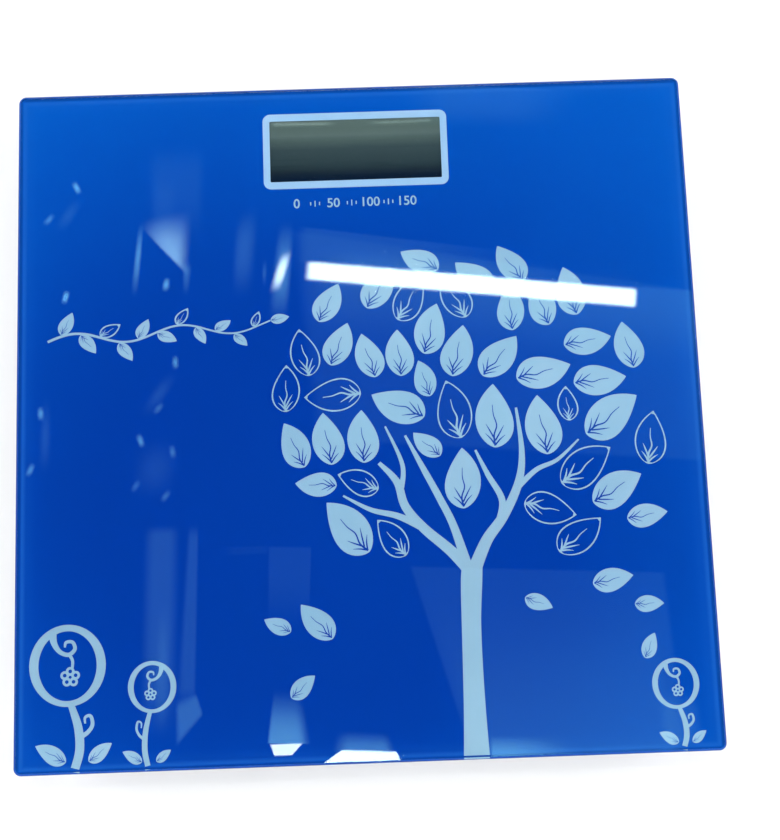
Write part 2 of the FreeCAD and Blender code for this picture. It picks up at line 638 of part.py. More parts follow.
def make_battery(label, side):
    """An AAA cell: the first's positive end points at +X, the second's at -X."""
    shoulder = "(cell_long - nub_long)"
    body = turned_body(label, [
        ("0", "0"), ("cell_radius - 0.4", "0"), ("cell_radius", "0.4"),
        ("cell_radius", f"{shoulder} - 0.5"), ("cell_radius - 0.5", shoulder),
        ("nub_radius", shoulder), ("nub_radius", "cell_long"), ("0", "cell_long")])
    end = "(bay_half - contact_gap - contact_thick)"
    bind(body, "Placement.Base.x", f"{side} * ({end} - cell_long)")
    bind(body, "Placement.Base.y", f"bay_y + {side} * cell_apart / 2")
    bind(body, "Placement.Base.z", "cell_axis")
    body.Placement.Rotation = FreeCAD.Rotation(FreeCAD.Vector(0, 1, 0), 90 * side)


def make_contacts():
    """Two single plates with solder tabs at +X, and the bridge plate at -X."""
    near = "(bay_half - contact_gap - contact_thick)"
    far = "(bay_half - contact_gap)"
    low, high = "cell_axis - contact_half", "cell_axis + contact_half"
    for label, side in (("battery_positive_plate", 1), ("battery_negative_plate", -1)):
        body = new_body(label)
        y = f"bay_y + {side} * cell_apart / 2"
        box(body, "face", (near, f"{y} - contact_half", low), (far, f"{y} + contact_half", high))
        box(body, "tab", (near, f"{y} - tab_half", "tab_level"),
            ("tab_reach", f"{y} + tab_half", "tab_level + contact_thick"))
    bridge = new_body("battery_bridge_plate")
    reach = "(cell_apart / 2 + contact_half)"
    box(bridge, "face", (f"-1 * {far}", f"bay_y - {reach}", low),
        (f"-1 * {near}", f"bay_y + {reach}", high))


def make_battery_door():
    """The cover, round along its hinge, with two hooks and the fixed arm of its latch."""
    top = "tray_bottom + door_thick"
    hinge_x, hinge_level = "(door_thick / 2 - door_left)", "(tray_bottom + door_thick / 2)"
    body = new_body("battery_door")
    box(body, "cover", (hinge_x, "bay_y - door_half", "tray_bottom"),
        ("door_right", "bay_y + door_half", top))
    round_edge = new_sketch(body, "hinge_edge", "-bay_y - door_half", role="XZ_Plane")
    draw_circle(round_edge, hinge_x, hinge_level, "door_thick / 2")
    pad(body, round_edge, "2 * door_half")
    for side in (-1, 1):
        y = f"bay_y + {side} * hook_place"
        box(body, "hook_post", ("-door_left", f"{y} - hook_half", hinge_level),
            ("-door_left + hook_thick", f"{y} + hook_half", "hook_top"))
        box(body, "hook_tip", ("-hook_tip", f"{y} - hook_half", "hook_level"),
            ("-door_left + hook_thick", f"{y} + hook_half", "hook_top"))
    box(body, "latch_arm", ("door_right - arm_thick", "bay_y - latch_half", top),
        ("door_right", "bay_y + latch_half", "bend_level"))
    for step in range(3):
        x = f"(door_right - 4 - {step} * grip_pitch)"
        cut_box(body, "grip", (x, "bay_y - grip_wide / 2", "tray_bottom"),
                (f"{x} + 1", "bay_y + grip_wide / 2", "tray_bottom + grip_deep"))


def make_latch():
    """The sprung half of the door's latch: a U bend, an outer arm and a nib."""
    body = new_body("battery_door_latch")
    ring = new_sketch(body, "bend", "-bay_y - latch_half", role="XZ_Plane")
    draw_circle(ring, BEND_X, "bend_level", "bend_inner + arm_thick")
    draw_circle(ring, BEND_X, "bend_level", "bend_inner")
    pad(body, ring, "2 * latch_half")
    reach = "(bend_inner + arm_thick)"
    cut_box(body, "lower_half",
            (f"{BEND_X} - {reach} - 1", "bay_y - latch_half - 1", "bend_level - 4"),
            (f"{BEND_X} + {reach} + 1", "bay_y + latch_half + 1", "bend_level"))
    arm_in, arm_out = f"({BEND_X} + bend_inner)", f"({BEND_X} + {reach})"
    box(body, "outer_arm", (arm_in, "bay_y - latch_half", "tray_bottom"),
        (arm_out, "bay_y + latch_half", "bend_level"))
    nib = new_sketch(body, "nib", "-bay_y - latch_half + 1", role="XZ_Plane")
    draw_polygon(nib, [(f"{arm_out} - 0.2", "nib_level"), (f"{arm_out} + nib_reach", "nib_level"),
                       (f"{arm_out} + nib_reach - 0.5", "nib_level + nib_tall / 2"),
                       (f"{arm_out} - 0.2", "nib_level + nib_tall")])
    pad(body, nib, "2 * latch_half - 2")


def make_label():
    plate("rating_label", "tray_bottom - label_thick", "label_thick", lambda sketch:
          draw_rounded_rectangle(sketch, "0", "label_y", "label_wide", "label_deep", "2"))


# ---------------------------------------------------------------- wires

def rounded_route(points):
    """Straight runs joined by arcs as wide as the runs allow."""
    spots = [FreeCAD.Vector(*point) for point in points]
    edges = []
    start = spots[0]
    for before, corner, after in zip(spots, spots[1:], spots[2:]):
        back, ahead = before - corner, after - corner
        reach = 0.45 * min(back.Length, ahead.Length)
        back.normalize()
        ahead.normalize()
        turn = math.pi - back.getAngle(ahead)
        radius = reach / math.tan(turn / 2)
        middle = (back + ahead).normalize()
        middle *= math.hypot(reach, radius) - radius
        enter, leave = corner + back * reach, corner + ahead * reach
        edges.append(Part.LineSegment(start, enter).toShape())
        edges.append(Part.Arc(enter, corner + middle, leave).toShape())
        start = leave
    edges.append(Part.LineSegment(start, spots[-1]).toShape())
    return Part.Wire(edges)


def wire_solid(points, radius):
    """A round wire along a route."""
    route = rounded_route(points)
    ahead = route.Edges[0].tangentAt(route.Edges[0].FirstParameter)
    ring = Part.Wire(Part.Circle(FreeCAD.Vector(*points[0]), ahead, radius).toShape())
    solid = route.makePipeShell([ring], True, True)
    share = solid.Volume / (math.pi * radius ** 2 * route.Length)
    if not 0.97 < share < 1.03:
        raise ValueError(f"a wire's volume is {share:.3f} of its section times its length")
    return solid


def make_spring(label, side):
    """A cone of wire between a contact plate and a cell's flat end; side is the plate's X."""
    plate_face = number("bay_half - contact_gap - contact_thick")
    wire = number("coil_wire")
    across = number(f"bay_y - {side} * cell_apart / 2")
    start, end = plate_face - wire - 0.05, number("coil_end") + wire + 0.05
    steps = round(number("coil_turns") * COIL_STEPS)
    points = []
    for step in range(steps + 1):
        share = step / steps
        angle = 2 * math.pi * step / COIL_STEPS
        radius = number("coil_wide") * (1 - share) + number("coil_narrow") * share
        points.append((side * (start * (1 - share) + end * share),
                       across + radius * math.cos(angle),
                       number("cell_axis") + radius * math.sin(angle)))
    coil = doc.addObject("Part::Feature", label)
    coil.Label = label
    coil.Shape = wire_solid(points, wire)


def make_wires(label, routes):
    feature = doc.addObject("Part::Feature", label)
    feature.Label = label
    solids = [wire_solid(route, number("wire_thick") / 2) for route in routes]
    feature.Shape = solids[0] if len(solids) == 1 else Part.makeCompound(solids)


def beside(points, shift):
    """A route that keeps to one side of another: each point is moved square to its way."""
    moved = []
    for index, (x, y, z) in enumerate(points):
        before = points[max(index - 1, 0)]
        after = points[min(index + 1, len(points) - 1)]
        way_x, way_y = after[0] - before[0], after[1] - before[1]
        length = math.hypot(way_x, way_y)
        moved.append((x - shift * way_y / length, y + shift * way_x / length, z))
    return moved


def load_cell_route(side_x, side_y, order):
    """From a strain gauge over its retainer, along the floor and onto the board."""
    foot = number("foot_place")
    top = number(CELL_TOP) + 0.5 + number("wire_thick") / 2
    board = number(BOARD_TOP) + number("wire_thick") / 2 + 0.05
    low = number(FLOOR_TOP) + number("wire_thick")
    if side_y > 0:
        points = [(-foot, foot - 4, top), (-foot + 0.5, 84, top + 0.4), (-100.5, 74, 11.5),
                  (-94, 68, low), (-82, 68, low), (-70, 76, 8.8), (-60, 86, 12.5),
                  (-50, 92, board + 0.6), (-40, 94, board)]
    else:
        points = [(-foot, -foot + 4, top), (-foot + 0.5, -84, top + 0.4), (-101, -72, 10.5),
                  (-94, -52, low), (-78, -16, low + 0.2), (-68, 24, low), (-63, 56, low),
                  (-57, 74, 11), (-49, 84.5, board + 0.6), (-40, 88, board)]
    points = beside(points, order * number("wire_apart"))
    return [(-side_x * x, y, z) for x, y, z in points]


def make_all_wires():
    for order, colour in ((-1, "red"), (0, "white"), (1, "black")):
        make_wires(f"load_cell_wires_{colour}",
                   [load_cell_route(*sides, order) for sides in CORNERS.values()])
    start = number("tab_reach") + 0.2
    level = number("tab_level") + number("contact_thick") / 2
    board = number(BOARD_TOP) + number("wire_thick") / 2 + 0.05
    upper = number("bay_y + cell_apart / 2")
    lower = number("bay_y - cell_apart / 2")
    make_wires("battery_wire_red", [[
        (start, upper, level), (35, 18, 14), (39.5, 29, 9), (40, 44, 8), (37.5, 60, 8.2),
        (33, 74, 11.5), (29.5, 82.5, board + 0.7), (28, 90.5, board)]])
    make_wires("battery_wire_black", [[
        (start, lower, level), (37, 6.5, 14), (44, 17, 9.2), (46, 34, 8), (44.5, 52, 8.2),
        (40.5, 67, 9), (37, 79, board + 0.6), (34, 90, board)]])


# ---------------------------------------------------------------- assembly

make_platform()
make_prints()
make_tape()
make_tray()
retainer_spots = []
for corner, sides in CORNERS.items():
    make_foot(corner, *sides)
    make_load_cell(corner, *sides)
    make_retainer(corner, *sides)
    retainer_spots += ear_places(*sides)
make_strain_gauges()
make_screws("retainer_screws", retainer_spots, f"{CELL_TOP} + retainer_plate", "shank_long")
make_display()
make_display_holder()
make_board()
make_screws("board_screws", board_screw_places(), f"{BOARD_TOP} + shelf_thick", "shank_long")
make_switch_and_button()
make_battery("battery_one", 1)
make_battery("battery_two", -1)
make_contacts()
make_spring("battery_negative_spring", 1)
make_spring("battery_bridge_spring", -1)
make_battery_door()
make_latch()
make_label()
make_all_wires()

doc.recompute()

broken = [item.Label for item in doc.Objects
          if "Invalid" in item.State or "Error" in item.State]
if broken:
    raise RuntimeError("failed objects: " + ", ".join(broken))

PIECE_TYPES = ("PartDesign::Body", "Part::Feature")
for piece in [item for item in doc.Objects if item.TypeId in PIECE_TYPES]:
    shape = piece.Shape
    if shape.isNull() or not shape.isValid() or not shape.Solids:
        raise RuntimeError(f"{piece.Label} has no valid solid")
    shape.exportStep(f"parts/{piece.Label}.step")
    print(f"{piece.Label}: {len(shape.Solids)} solid(s), {shape.Volume:.1f} mm3")
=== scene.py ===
import math
import random

import bmesh
import bpy
import numpy
from mathutils import Matrix, Vector


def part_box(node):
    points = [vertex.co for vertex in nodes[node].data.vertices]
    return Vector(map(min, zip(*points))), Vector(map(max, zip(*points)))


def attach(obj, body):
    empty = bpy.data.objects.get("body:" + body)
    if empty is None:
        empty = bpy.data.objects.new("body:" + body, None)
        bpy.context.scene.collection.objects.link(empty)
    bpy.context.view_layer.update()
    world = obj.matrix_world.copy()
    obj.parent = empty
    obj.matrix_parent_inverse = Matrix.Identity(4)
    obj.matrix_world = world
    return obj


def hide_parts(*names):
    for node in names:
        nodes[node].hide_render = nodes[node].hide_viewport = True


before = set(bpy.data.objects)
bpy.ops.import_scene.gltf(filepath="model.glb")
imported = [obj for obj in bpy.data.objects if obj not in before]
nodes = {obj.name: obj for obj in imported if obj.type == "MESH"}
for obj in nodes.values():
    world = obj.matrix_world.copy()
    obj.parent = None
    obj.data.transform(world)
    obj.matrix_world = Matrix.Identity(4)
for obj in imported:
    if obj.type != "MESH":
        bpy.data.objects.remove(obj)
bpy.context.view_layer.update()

MM = 0.001
CAMERA_SPOT = Vector((4.2, -100, 590.7)) * MM
CAMERA_TURN = (9.64, -0.45, -2.04)         # degrees about X, Y and Z
CAMERA_LENS, CAMERA_SENSOR = 60.44, 36      # in camera millimetres

# Places taken from the frame: corners of boxes in metres, all other numbers in millimetres
GLASS_LOW, GLASS_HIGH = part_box("glass_platform")
SIDE = (GLASS_HIGH.x - GLASS_LOW.x) / MM
GLASS_UNDER = GLASS_LOW.z / MM
PRINT_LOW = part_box("printed_backing")[0].z / MM
BORDER_LOW, BORDER_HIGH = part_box("display_border")
DISPLAY_X = (BORDER_LOW.x + BORDER_HIGH.x) / 2 / MM
DISPLAY_Y = (BORDER_LOW.y + BORDER_HIGH.y) / 2 / MM
BORDER_WIDE = (BORDER_HIGH.x - BORDER_LOW.x) / MM
BORDER_DEEP = (BORDER_HIGH.y - BORDER_LOW.y) / MM

# Given here, in millimetres
BORDER_BAND = 2.85          # width of the printed border
PRINT_INSET = 0.06          # bare glass left round the print

# The print is built up in the glass's back face, so that no air lies in front of it
BACKING_TOP = GLASS_UNDER + 0.02
ART_TOP = GLASS_UNDER + 0.03
VEIN_TOP = GLASS_UNDER + 0.04
ART_LOW = GLASS_UNDER - 0.02


# ---------------------------------------------------------------- materials

class Nodes:
    """A node tree, built up by its methods."""

    def __init__(self, owner):
        owner.use_nodes = True
        self.tree = owner.node_tree

    def add(self, kind, **settings):
        node = self.tree.nodes.new(kind)
        for key, value in settings.items():
            setattr(node, key, value)
        return node

    def link(self, start, end):
        self.tree.links.new(start, end)

    def split(self, vector):
        """A vector's outputs X, Y and Z."""
        node = self.add("ShaderNodeSeparateXYZ")
        self.link(vector, node.inputs["Vector"])
        return node.outputs

    def spread(self, value, start, end, low=0.0, high=1.0, ease="LINEAR"):
        """Turns start to end into low to high."""
        node = self.add("ShaderNodeMapRange", interpolation_type=ease)
        sizes = {"From Min": start, "From Max": end, "To Min": low, "To Max": high}
        for name, size in sizes.items():
            node.inputs[name].default_value = size
        self.link(value, node.inputs["Value"])
        return node.outputs["Result"]

    def maths(self, operation, *values):
        """A math node on sockets or plain numbers."""
        node = self.add("ShaderNodeMath", operation=operation)
        for socket, value in zip(node.inputs, values):
            if isinstance(value, bpy.types.NodeSocket):
                self.link(value, socket)
            else:
                socket.default_value = value
        return node.outputs["Value"]

    def ramp(self, fac, stops, ease="LINEAR"):
        """stops is a list of (place, colour)."""
        ramp = self.add("ShaderNodeValToRGB")
        ramp.color_ramp.interpolation = ease
        elements = ramp.color_ramp.elements
        while len(elements) < len(stops):
            elements.new(0.5)
        for element, (place, colour) in zip(elements, stops):
            element.position = place
            element.color = (*colour, 1)
        self.link(fac, ramp.inputs["Fac"])
        return ramp.outputs["Color"]

    def mix(self, share, first, second):
        """Two shaders or two colours, by a share; a plain colour may stand for a socket."""
        shaders = isinstance(first, bpy.types.NodeSocketShader)
        node = self.add("ShaderNodeMixShader" if shaders else "ShaderNodeMixRGB")
        self.link(share, node.inputs[0])
        for socket, value in zip(list(node.inputs)[1:], (first, second)):
            if isinstance(value, bpy.types.NodeSocket):
                self.link(value, socket)
            else:
                socket.default_value = (*value, 1)
        return node.outputs[0]


class Paint(Nodes):
    """A node material with a Principled shader."""

    def __init__(self, name):
        self.material = bpy.data.materials.new(name)
        super().__init__(self.material)
        self.shader = self.tree.nodes["Principled BSDF"]
        self.place = self.add("ShaderNodeTexCoord").outputs["Object"]

    def put(self, **values):
        """Sets sockets of the shader; underscores stand for spaces."""
        for key, value in values.items():
            self.shader.inputs[key.replace("_", " ")].default_value = value
        return self

    def stretched(self, scale):
        mapping = self.add("ShaderNodeMapping")
        mapping.inputs["Scale"].default_value = scale
        self.link(self.place, mapping.inputs["Vector"])
        return mapping.outputs["Vector"]

    def noise(self, scale, detail=3.0, rough=0.5, stretch=(1, 1, 1)):
        texture = self.add("ShaderNodeTexNoise")
        texture.inputs["Scale"].default_value = scale
        texture.inputs["Detail"].default_value = detail
        texture.inputs["Roughness"].default_value = rough
        self.link(self.stretched(stretch), texture.inputs["Vector"])
        return texture.outputs["Fac"]

    def cells(self, scale):
        texture = self.add("ShaderNodeTexVoronoi")
        texture.inputs["Scale"].default_value = scale
        self.link(self.place, texture.inputs["Vector"])
        return texture.outputs["Distance"]

    def colour(self, fac, dark, light, low=0.35, high=0.65):
        self.link(self.ramp(fac, [(low, dark), (high, light)]), self.shader.inputs["Base Color"])
        return self

    def roughness(self, fac, low, high):
        self.link(self.spread(fac, 0.3, 0.7, low, high), self.shader.inputs["Roughness"])
        return self

    def bump(self, fac, depth, strength=1.0):
        """depth in metres."""
        bump = self.add("ShaderNodeBump")
        bump.inputs["Strength"].default_value = strength
        bump.inputs["Distance"].default_value = depth
        self.link(fac, bump.inputs["Height"])
        self.link(bump.outputs["Normal"], self.shader.inputs["Normal"])
        return self

    def show(self, shader):
        """Puts another shader on the surface than the plain Principled one."""
        self.link(shader, self.tree.nodes["Material Output"].inputs["Surface"])


def shade(colour, factor):
    return tuple(min(1.0, channel * factor) for channel in colour)


def moulded(name, colour, rough=0.45, grain=2200, depth=0.00003):
    """Moulded plastic with a fine spark-eroded grain."""
    paint = Paint(name)
    paint.colour(paint.noise(14, 4), shade(colour, 0.93), shade(colour, 1.04))
    paint.roughness(paint.noise(60, 3), rough - 0.06, rough + 0.08)
    return paint.bump(paint.noise(grain, 2, 0.6), depth, 0.6).material


def rubber(name, colour):
    paint = Paint(name)
    paint.colour(paint.noise(90, 4), shade(colour, 0.75), shade(colour, 1.35))
    paint.roughness(paint.noise(300, 3), 0.62, 0.85)
    paint.put(Specular_IOR_Level=0.35)
    return paint.bump(paint.noise(2600, 3), 0.00004, 0.7).material


def foam(name, colour):
    paint = Paint(name)
    paint.colour(paint.cells(1400), shade(colour, 0.6), shade(colour, 1.1), 0.1, 0.7)
    paint.put(Roughness=0.9)
    return paint.bump(paint.cells(1800), 0.0001).material


def plated(name, colour, stretch=(1, 1, 1), rough=0.28):
    """Plated or brushed metal; stretch draws the grain out along an axis."""
    paint = Paint(name)
    paint.put(Metallic=1.0)
    paint.colour(paint.noise(500, 3, 0.6, stretch), shade(colour, 0.8), shade(colour, 1.08))
    paint.roughness(paint.noise(700, 3, 0.5, stretch), rough - 0.06, rough + 0.14)
    return paint.bump(paint.noise(900, 2, 0.5, stretch), 0.00002, 0.5).material


def enamel(name, dark, light, scale=22.0):
    """Screen-printed enamel: slightly cloudy, seen through the glass."""
    paint = Paint(name)
    paint.colour(paint.noise(scale, 5, 0.55), dark, light, 0.25, 0.75)
    paint.roughness(paint.noise(400, 2), 0.55, 0.7)
    paint.put(Specular_IOR_Level=0.02)
    return paint.material


def blue_enamel():
    """The blue back print with painted light: painted shade darkens its middle against a lighter rim, and a
    painted glow band and then a painted shade band run along its edge.
    """
    paint = Paint("blue_enamel")
    # painted light: the rim blue is painted lighter, and the middle blue darker as painted shade
    painted_lit_rim, middle = (0.0012, 0.080, 0.41), (0.0003, 0.034, 0.285)
    # a painted glow band just inside the edge and a painted shade band at the edge itself
    painted_edge_glow, painted_edge_shade = (0.011, 0.10, 0.42), (0.004, 0.038, 0.18)
    band_reach = 8              # mm from the edge to where the bands begin
    mapping = paint.add("ShaderNodeMapping")
    mapping.inputs["Location"].default_value = (0.10, 0.20, 0)
    mapping.inputs["Scale"].default_value = (4.0, 4.6, 1)
    paint.link(paint.place, mapping.inputs["Vector"])
    # a spherical gradient that paints shade into the middle of the print
    gradient = paint.add("ShaderNodeTexGradient", gradient_type="SPHERICAL")
    paint.link(mapping.outputs["Vector"], gradient.inputs["Vector"])
    # random cloudy tone on top of the painted shade gradient
    cloudy = paint.maths("MULTIPLY_ADD", paint.noise(9, 5, 0.6), 0.22, gradient.outputs["Fac"])
    base = paint.ramp(cloudy, [(0.05, painted_lit_rim), (0.8, middle)], "EASE")
    place = paint.split(paint.place)
    far = paint.maths("MAXIMUM", paint.maths("ABSOLUTE", place["X"]), paint.maths("ABSOLUTE", place["Y"]))
    edge = SIDE / 2 - PRINT_INSET
    near = paint.spread(far, (edge - band_reach) * MM, edge * MM)
    # first the painted glow band, then the painted shade band at the very edge
    for colour, stops in ((painted_edge_glow, [(0.0, 0.0), (0.52, 0.1), (0.76, 0.6), (0.86, 0.1), (0.9, 0.0)]),
                          (painted_edge_shade, [(0.0, 0.0), (0.80, 0.0), (0.9, 0.6), (1.0, 0.85)])):
        share = paint.ramp(near, [(at, (level,) * 3) for at, level in stops], "EASE")
        base = paint.mix(share, base, colour)
    paint.link(base, paint.shader.inputs["Base Color"])
    paint.roughness(paint.noise(500, 2), 0.5, 0.65)
    paint.put(Specular_IOR_Level=0.01)
    return paint.material


def clear_glass(name, tint, rough=0.004):
    """Glass that refracts what is seen through it and lets the lamps' light pass straight."""
    paint = Paint(name)
    paint.put(Transmission_Weight=1.0, IOR=1.52)
    paint.colour(paint.noise(3, 2), shade(tint, 0.99), tint)
    smear = paint.noise(11, 6, 0.65)
    paint.roughness(smear, rough, rough + 0.012)
    through = paint.add("ShaderNodeBsdfTransparent")
    through.inputs["Color"].default_value = (*tint, 1)
    shadow = paint.add("ShaderNodeLightPath").outputs["Is Shadow Ray"]
    paint.show(paint.mix(shadow, paint.shader.outputs["BSDF"], through.outputs["BSDF"]))
    return paint.material


def polariser_film():
    """The unlit display: grey-green, with painted shade darkening it towards its lower edge and a painted
    reflection lighting it towards the top, the painted gradient faintly banded.
    """
    paint = Paint("polariser_film")
    low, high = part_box("lcd_front_polariser")
    height = paint.spread(paint.split(paint.place)["Y"], low.y, high.y)
    # faint noise bands wobble the painted shade and reflection gradient
    painted_shade_height = paint.maths("MULTIPLY_ADD", paint.noise(90, 1, 0.4, (0.03, 3.6, 1)), 0.06, height)
    # painted shade and painted reflection: darkest at the lower edge, lighter towards the top, with a
    # lighter band about three quarters up
    stops = [(0.05, (0.0013, 0.0093, 0.030)), (0.135, (0.0032, 0.0088, 0.0233)),
             (0.24, (0.011, 0.0195, 0.0288)), (0.35, (0.021, 0.035, 0.043)),
             (0.55, (0.0305, 0.047, 0.055)), (0.66, (0.051, 0.073, 0.075)),
             (0.76, (0.083, 0.108, 0.106)), (0.87, (0.073, 0.099, 0.095)),
             (1.00, (0.095, 0.124, 0.120))]
    paint.link(paint.ramp(painted_shade_height, stops), paint.shader.inputs["Base Color"])
    paint.roughness(paint.noise(120, 2, 0.5, (0.1, 2, 1)), 0.26, 0.30)
    paint.put(Specular_IOR_Level=0.04)
    return paint.material


def banded(name, stops, axis, low, high, rough=0.35):
    """Bands of colour along an axis, between two places on it."""
    paint = Paint(name)
    along = paint.spread(paint.split(paint.place)[axis], low, high)
    paint.link(paint.ramp(along, stops, "CONSTANT"), paint.shader.inputs["Base Color"])
    paint.roughness(paint.noise(200, 3), rough - 0.08, rough + 0.1)
    return paint.bump(paint.noise(900, 2), 0.00001, 0.4).material


def battery_sleeve(name, node, positive_first):
    low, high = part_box(node)
    black, copper, steel = (0.02, 0.02, 0.022), (0.62, 0.30, 0.12), (0.6, 0.6, 0.58)
    stops = [(0.0, steel), (0.025, black), (0.72, copper), (0.965, steel)]
    if positive_first:
        stops = [(0.0, steel), (0.035, copper), (0.28, black), (0.975, steel)]
    return banded(name, stops, "X", low.x, high.x)


# ---------------------------------------------------------------- shapes

def piece(name, mesh_source, material, body="scale", replaces=()):
    """Makes a rigid piece from a bmesh or a mesh."""
    if isinstance(mesh_source, bmesh.types.BMesh):
        mesh = bpy.data.meshes.new(name)
        bmesh.ops.recalc_face_normals(mesh_source, faces=mesh_source.faces)
        mesh_source.to_mesh(mesh)
        mesh_source.free()
    else:
        mesh = mesh_source
    obj = bpy.data.objects.new(name, mesh)
    bpy.context.scene.collection.objects.link(obj)
    obj.data.materials.clear()
    obj.data.materials.append(material)
    if replaces:
        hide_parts(*replaces)
    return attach(obj, body)


def add_prism(mesh, outline, low, high):
    """A flat closed solid from an outline of (x, y) in millimetres."""
    floor = [mesh.verts.new((x * MM, y * MM, low * MM)) for x, y in outline]
    roof = [mesh.verts.new((x * MM, y * MM, high * MM)) for x, y in outline]
    mesh.faces.new(reversed(floor))
    mesh.faces.new(roof)
    count = len(outline)
    for i in range(count):
        j = (i + 1) % count
        mesh.faces.new((floor[i], floor[j], roof[j], roof[i]))


def add_band(mesh, outer, inner, low, high):
    """A flat closed solid between two loops with the same number of points."""
    loops = [[mesh.verts.new((x * MM, y * MM, z * MM)) for x, y in loop]
             for loop, z in ((outer, low), (outer, high), (inner, high), (inner, low))]
    count = len(outer)
    for k in range(4):
        first, second = loops[k], loops[(k + 1) % 4]
        for i in range(count):
            j = (i + 1) % count
            mesh.faces.new((first[i], first[j], second[j], second[i]))


def rounded_loop(x, y, wide, deep, radius, steps=8):
    """A rounded rectangle, anticlockwise."""
    loop = []
    for side_x, side_y, start in ((1, -1, -90), (1, 1, 0), (-1, 1, 90), (-1, -1, 180)):
        for step in range(steps + 1):
            angle = math.radians(start + 90 * step / steps)
            loop.append((x + side_x * (wide / 2 - radius) + radius * math.cos(angle),
                         y + side_y * (deep / 2 - radius) + radius * math.sin(angle)))
    return loop


def ellipse_loop(x, y, wide, tall, steps=64):
    return [(x + wide * math.cos(2 * math.pi * i / steps),
             y + tall * math.sin(2 * math.pi * i / steps)) for i in range(steps)]


def smooth_line(points, steps=10):
    """A Catmull-Rom curve through points of any number of coordinates."""
    ends = [points[0], *points, points[-1]]
    line = []
    for a, b, c, d in zip(ends, ends[1:], ends[2:], ends[3:]):
        for step in range(steps):
            t = step / steps
            line.append(tuple(
                0.5 * (2 * q + (r - p) * t + (2 * p - 5 * q + 4 * r - s) * t ** 2
                       + (3 * q - p - 3 * r + s) * t ** 3)
                for p, q, r, s in zip(a, b, c, d)))
    line.append(tuple(points[-1]))
    return line


def add_stroke(mesh, points, high, steps=10):
    """A closed flat solid along (x, y, width) points, made of a strip of quads."""
    line = smooth_line(points, steps)
    left, right = [], []
    for i, (x, y, width) in enumerate(line):
        before, after = line[max(i - 1, 0)], line[min(i + 1, len(line) - 1)]
        way = Vector((after[0] - before[0], after[1] - before[1]))
        way = way.normalized() if way.length else Vector((1, 0))
        left.append((x - way.y * width / 2, y + way.x * width / 2))
        right.append((x + way.y * width / 2, y - way.x * width / 2))
    rails = [[mesh.verts.new((x * MM, y * MM, z * MM)) for x, y in side]
             for side, z in ((left, ART_LOW), (right, ART_LOW), (right, high), (left, high))]
    for one, two in zip(rails, rails[1:] + rails[:1]):
        for i in range(len(line) - 1):
            mesh.faces.new((one[i], one[i + 1], two[i + 1], two[i]))
    mesh.faces.new([rail[0] for rail in rails])
    mesh.faces.new([rail[-1] for rail in reversed(rails)])


class Leaf:
    """A leaf with a round base at (x, y) and a drawn-out tip; angle in degrees."""

    POINTS = 22

    def __init__(self, x, y, angle, length, width, bend=0.0):
        self.x, self.y, self.length, self.width, self.bend = x, y, length, width, bend
        self.cos, self.sin = math.cos(math.radians(angle)), math.sin(math.radians(angle))

    def half_width(self, share):
        """Half the width at a share of the length: fullest at two fifths of the way."""
        full = 0.4 ** 0.64 * 0.6 ** 0.96
        return self.width / 2 * share ** 0.64 * (1 - share) ** 0.96 / full

    def at(self, share, side=0.0, inset=0.0):
        """A point at a share of the length; side -1 to 1 goes across the blade."""
        along = self.length * (0.02 + 0.98 * share)
        across = side * max(self.half_width(share) - inset, 0) \
            + self.bend * self.length * math.sin(math.pi * share * 0.5) ** 2
        return (self.x + along * self.cos - across * self.sin,
                self.y + along * self.sin + across * self.cos)

    def outline(self, inset=0.0):
        span = inset / self.length
        low, high = 1.1 * span, 1 - 2.2 * span
        shares = [low + (high - low) * (1 - math.cos(math.pi * i / self.POINTS)) / 2
                  for i in range(self.POINTS + 1)]
        one_side = [self.at(share, 1, inset) for share in shares]
        other = [self.at(share, -1, inset) for share in reversed(shares[1:-1])]
        return (one_side + other)[::-1]

    def add_veins(self, mesh, high, wide=0.5):
        """The midrib and the short veins that fan out of the base on both sides."""
        thick = wide * self.width / 12
        rib = [(*self.at(0.03 + 0.64 * i / 4, 0.10 * math.sin(2.2 * i)), 1.25 * thick * (1 - 0.18 * i))
               for i in range(5)]
        add_stroke(mesh, rib, high, 5)
        for side in (-1, 1):
            for step in range(2):
                root = 0.04 + 0.07 * step
                reach = 0.17 + 0.08 * step
                middle = self.at(root + 0.55 * reach, side * (0.34 - 0.06 * step))
                tip = self.at(root + reach, side * (0.60 - 0.13 * step))
                vein = [(*self.at(root, 0), thick), (*middle, 0.8 * thick), (*tip, 0.2 * thick)]
                add_stroke(mesh, vein, high - 0.002, 4)


# ---------------------------------------------------------------- artwork

TRUNK_FOOT = -138.6
TRUNK = [(41.6, TRUNK_FOOT, 10.2), (41.6, -122, 8.8), (41.6, -104, 8.0), (41.8, -86, 7.8), (42.6, -70, 8.6),
         (43.4, -62, 8.0)]

# Branches: x, y and width of each bend, from the trunk outwards
BRANCHES = [
    [(42.4, -66, 5.4), (34.5, -57.5, 4.4), (24, -48, 3.9), (17, -39, 3.5), (14, -29, 3.0), (7, -21, 1.6)],
    [(42, -67, 4.2), (36.4, -48, 3.2), (31, -36, 2.9), (25, -24, 2.4), (18, -10, 1.0)],
    [(24, -48, 3.2), (14, -43, 2.6), (3, -40, 1.9), (-8, -34, 0.8)],
    [(43.8, -66, 5.6), (49.5, -54, 4.6), (57, -44, 4.0), (63.5, -31, 3.3), (65.5, -18, 2.3), (64, 0, 1.0)],
    [(54.5, -48, 3.0), (56.5, -38, 2.7), (51, -27, 2.1), (46.5, -17, 0.9)],
    [(63, -33, 2.4), (71, -26, 2.0), (80, -22, 1.5), (89, -14, 0.7)],
    [(15.5, -33, 2.2), (16.5, -22, 1.8), (10, -6, 0.8)],
]

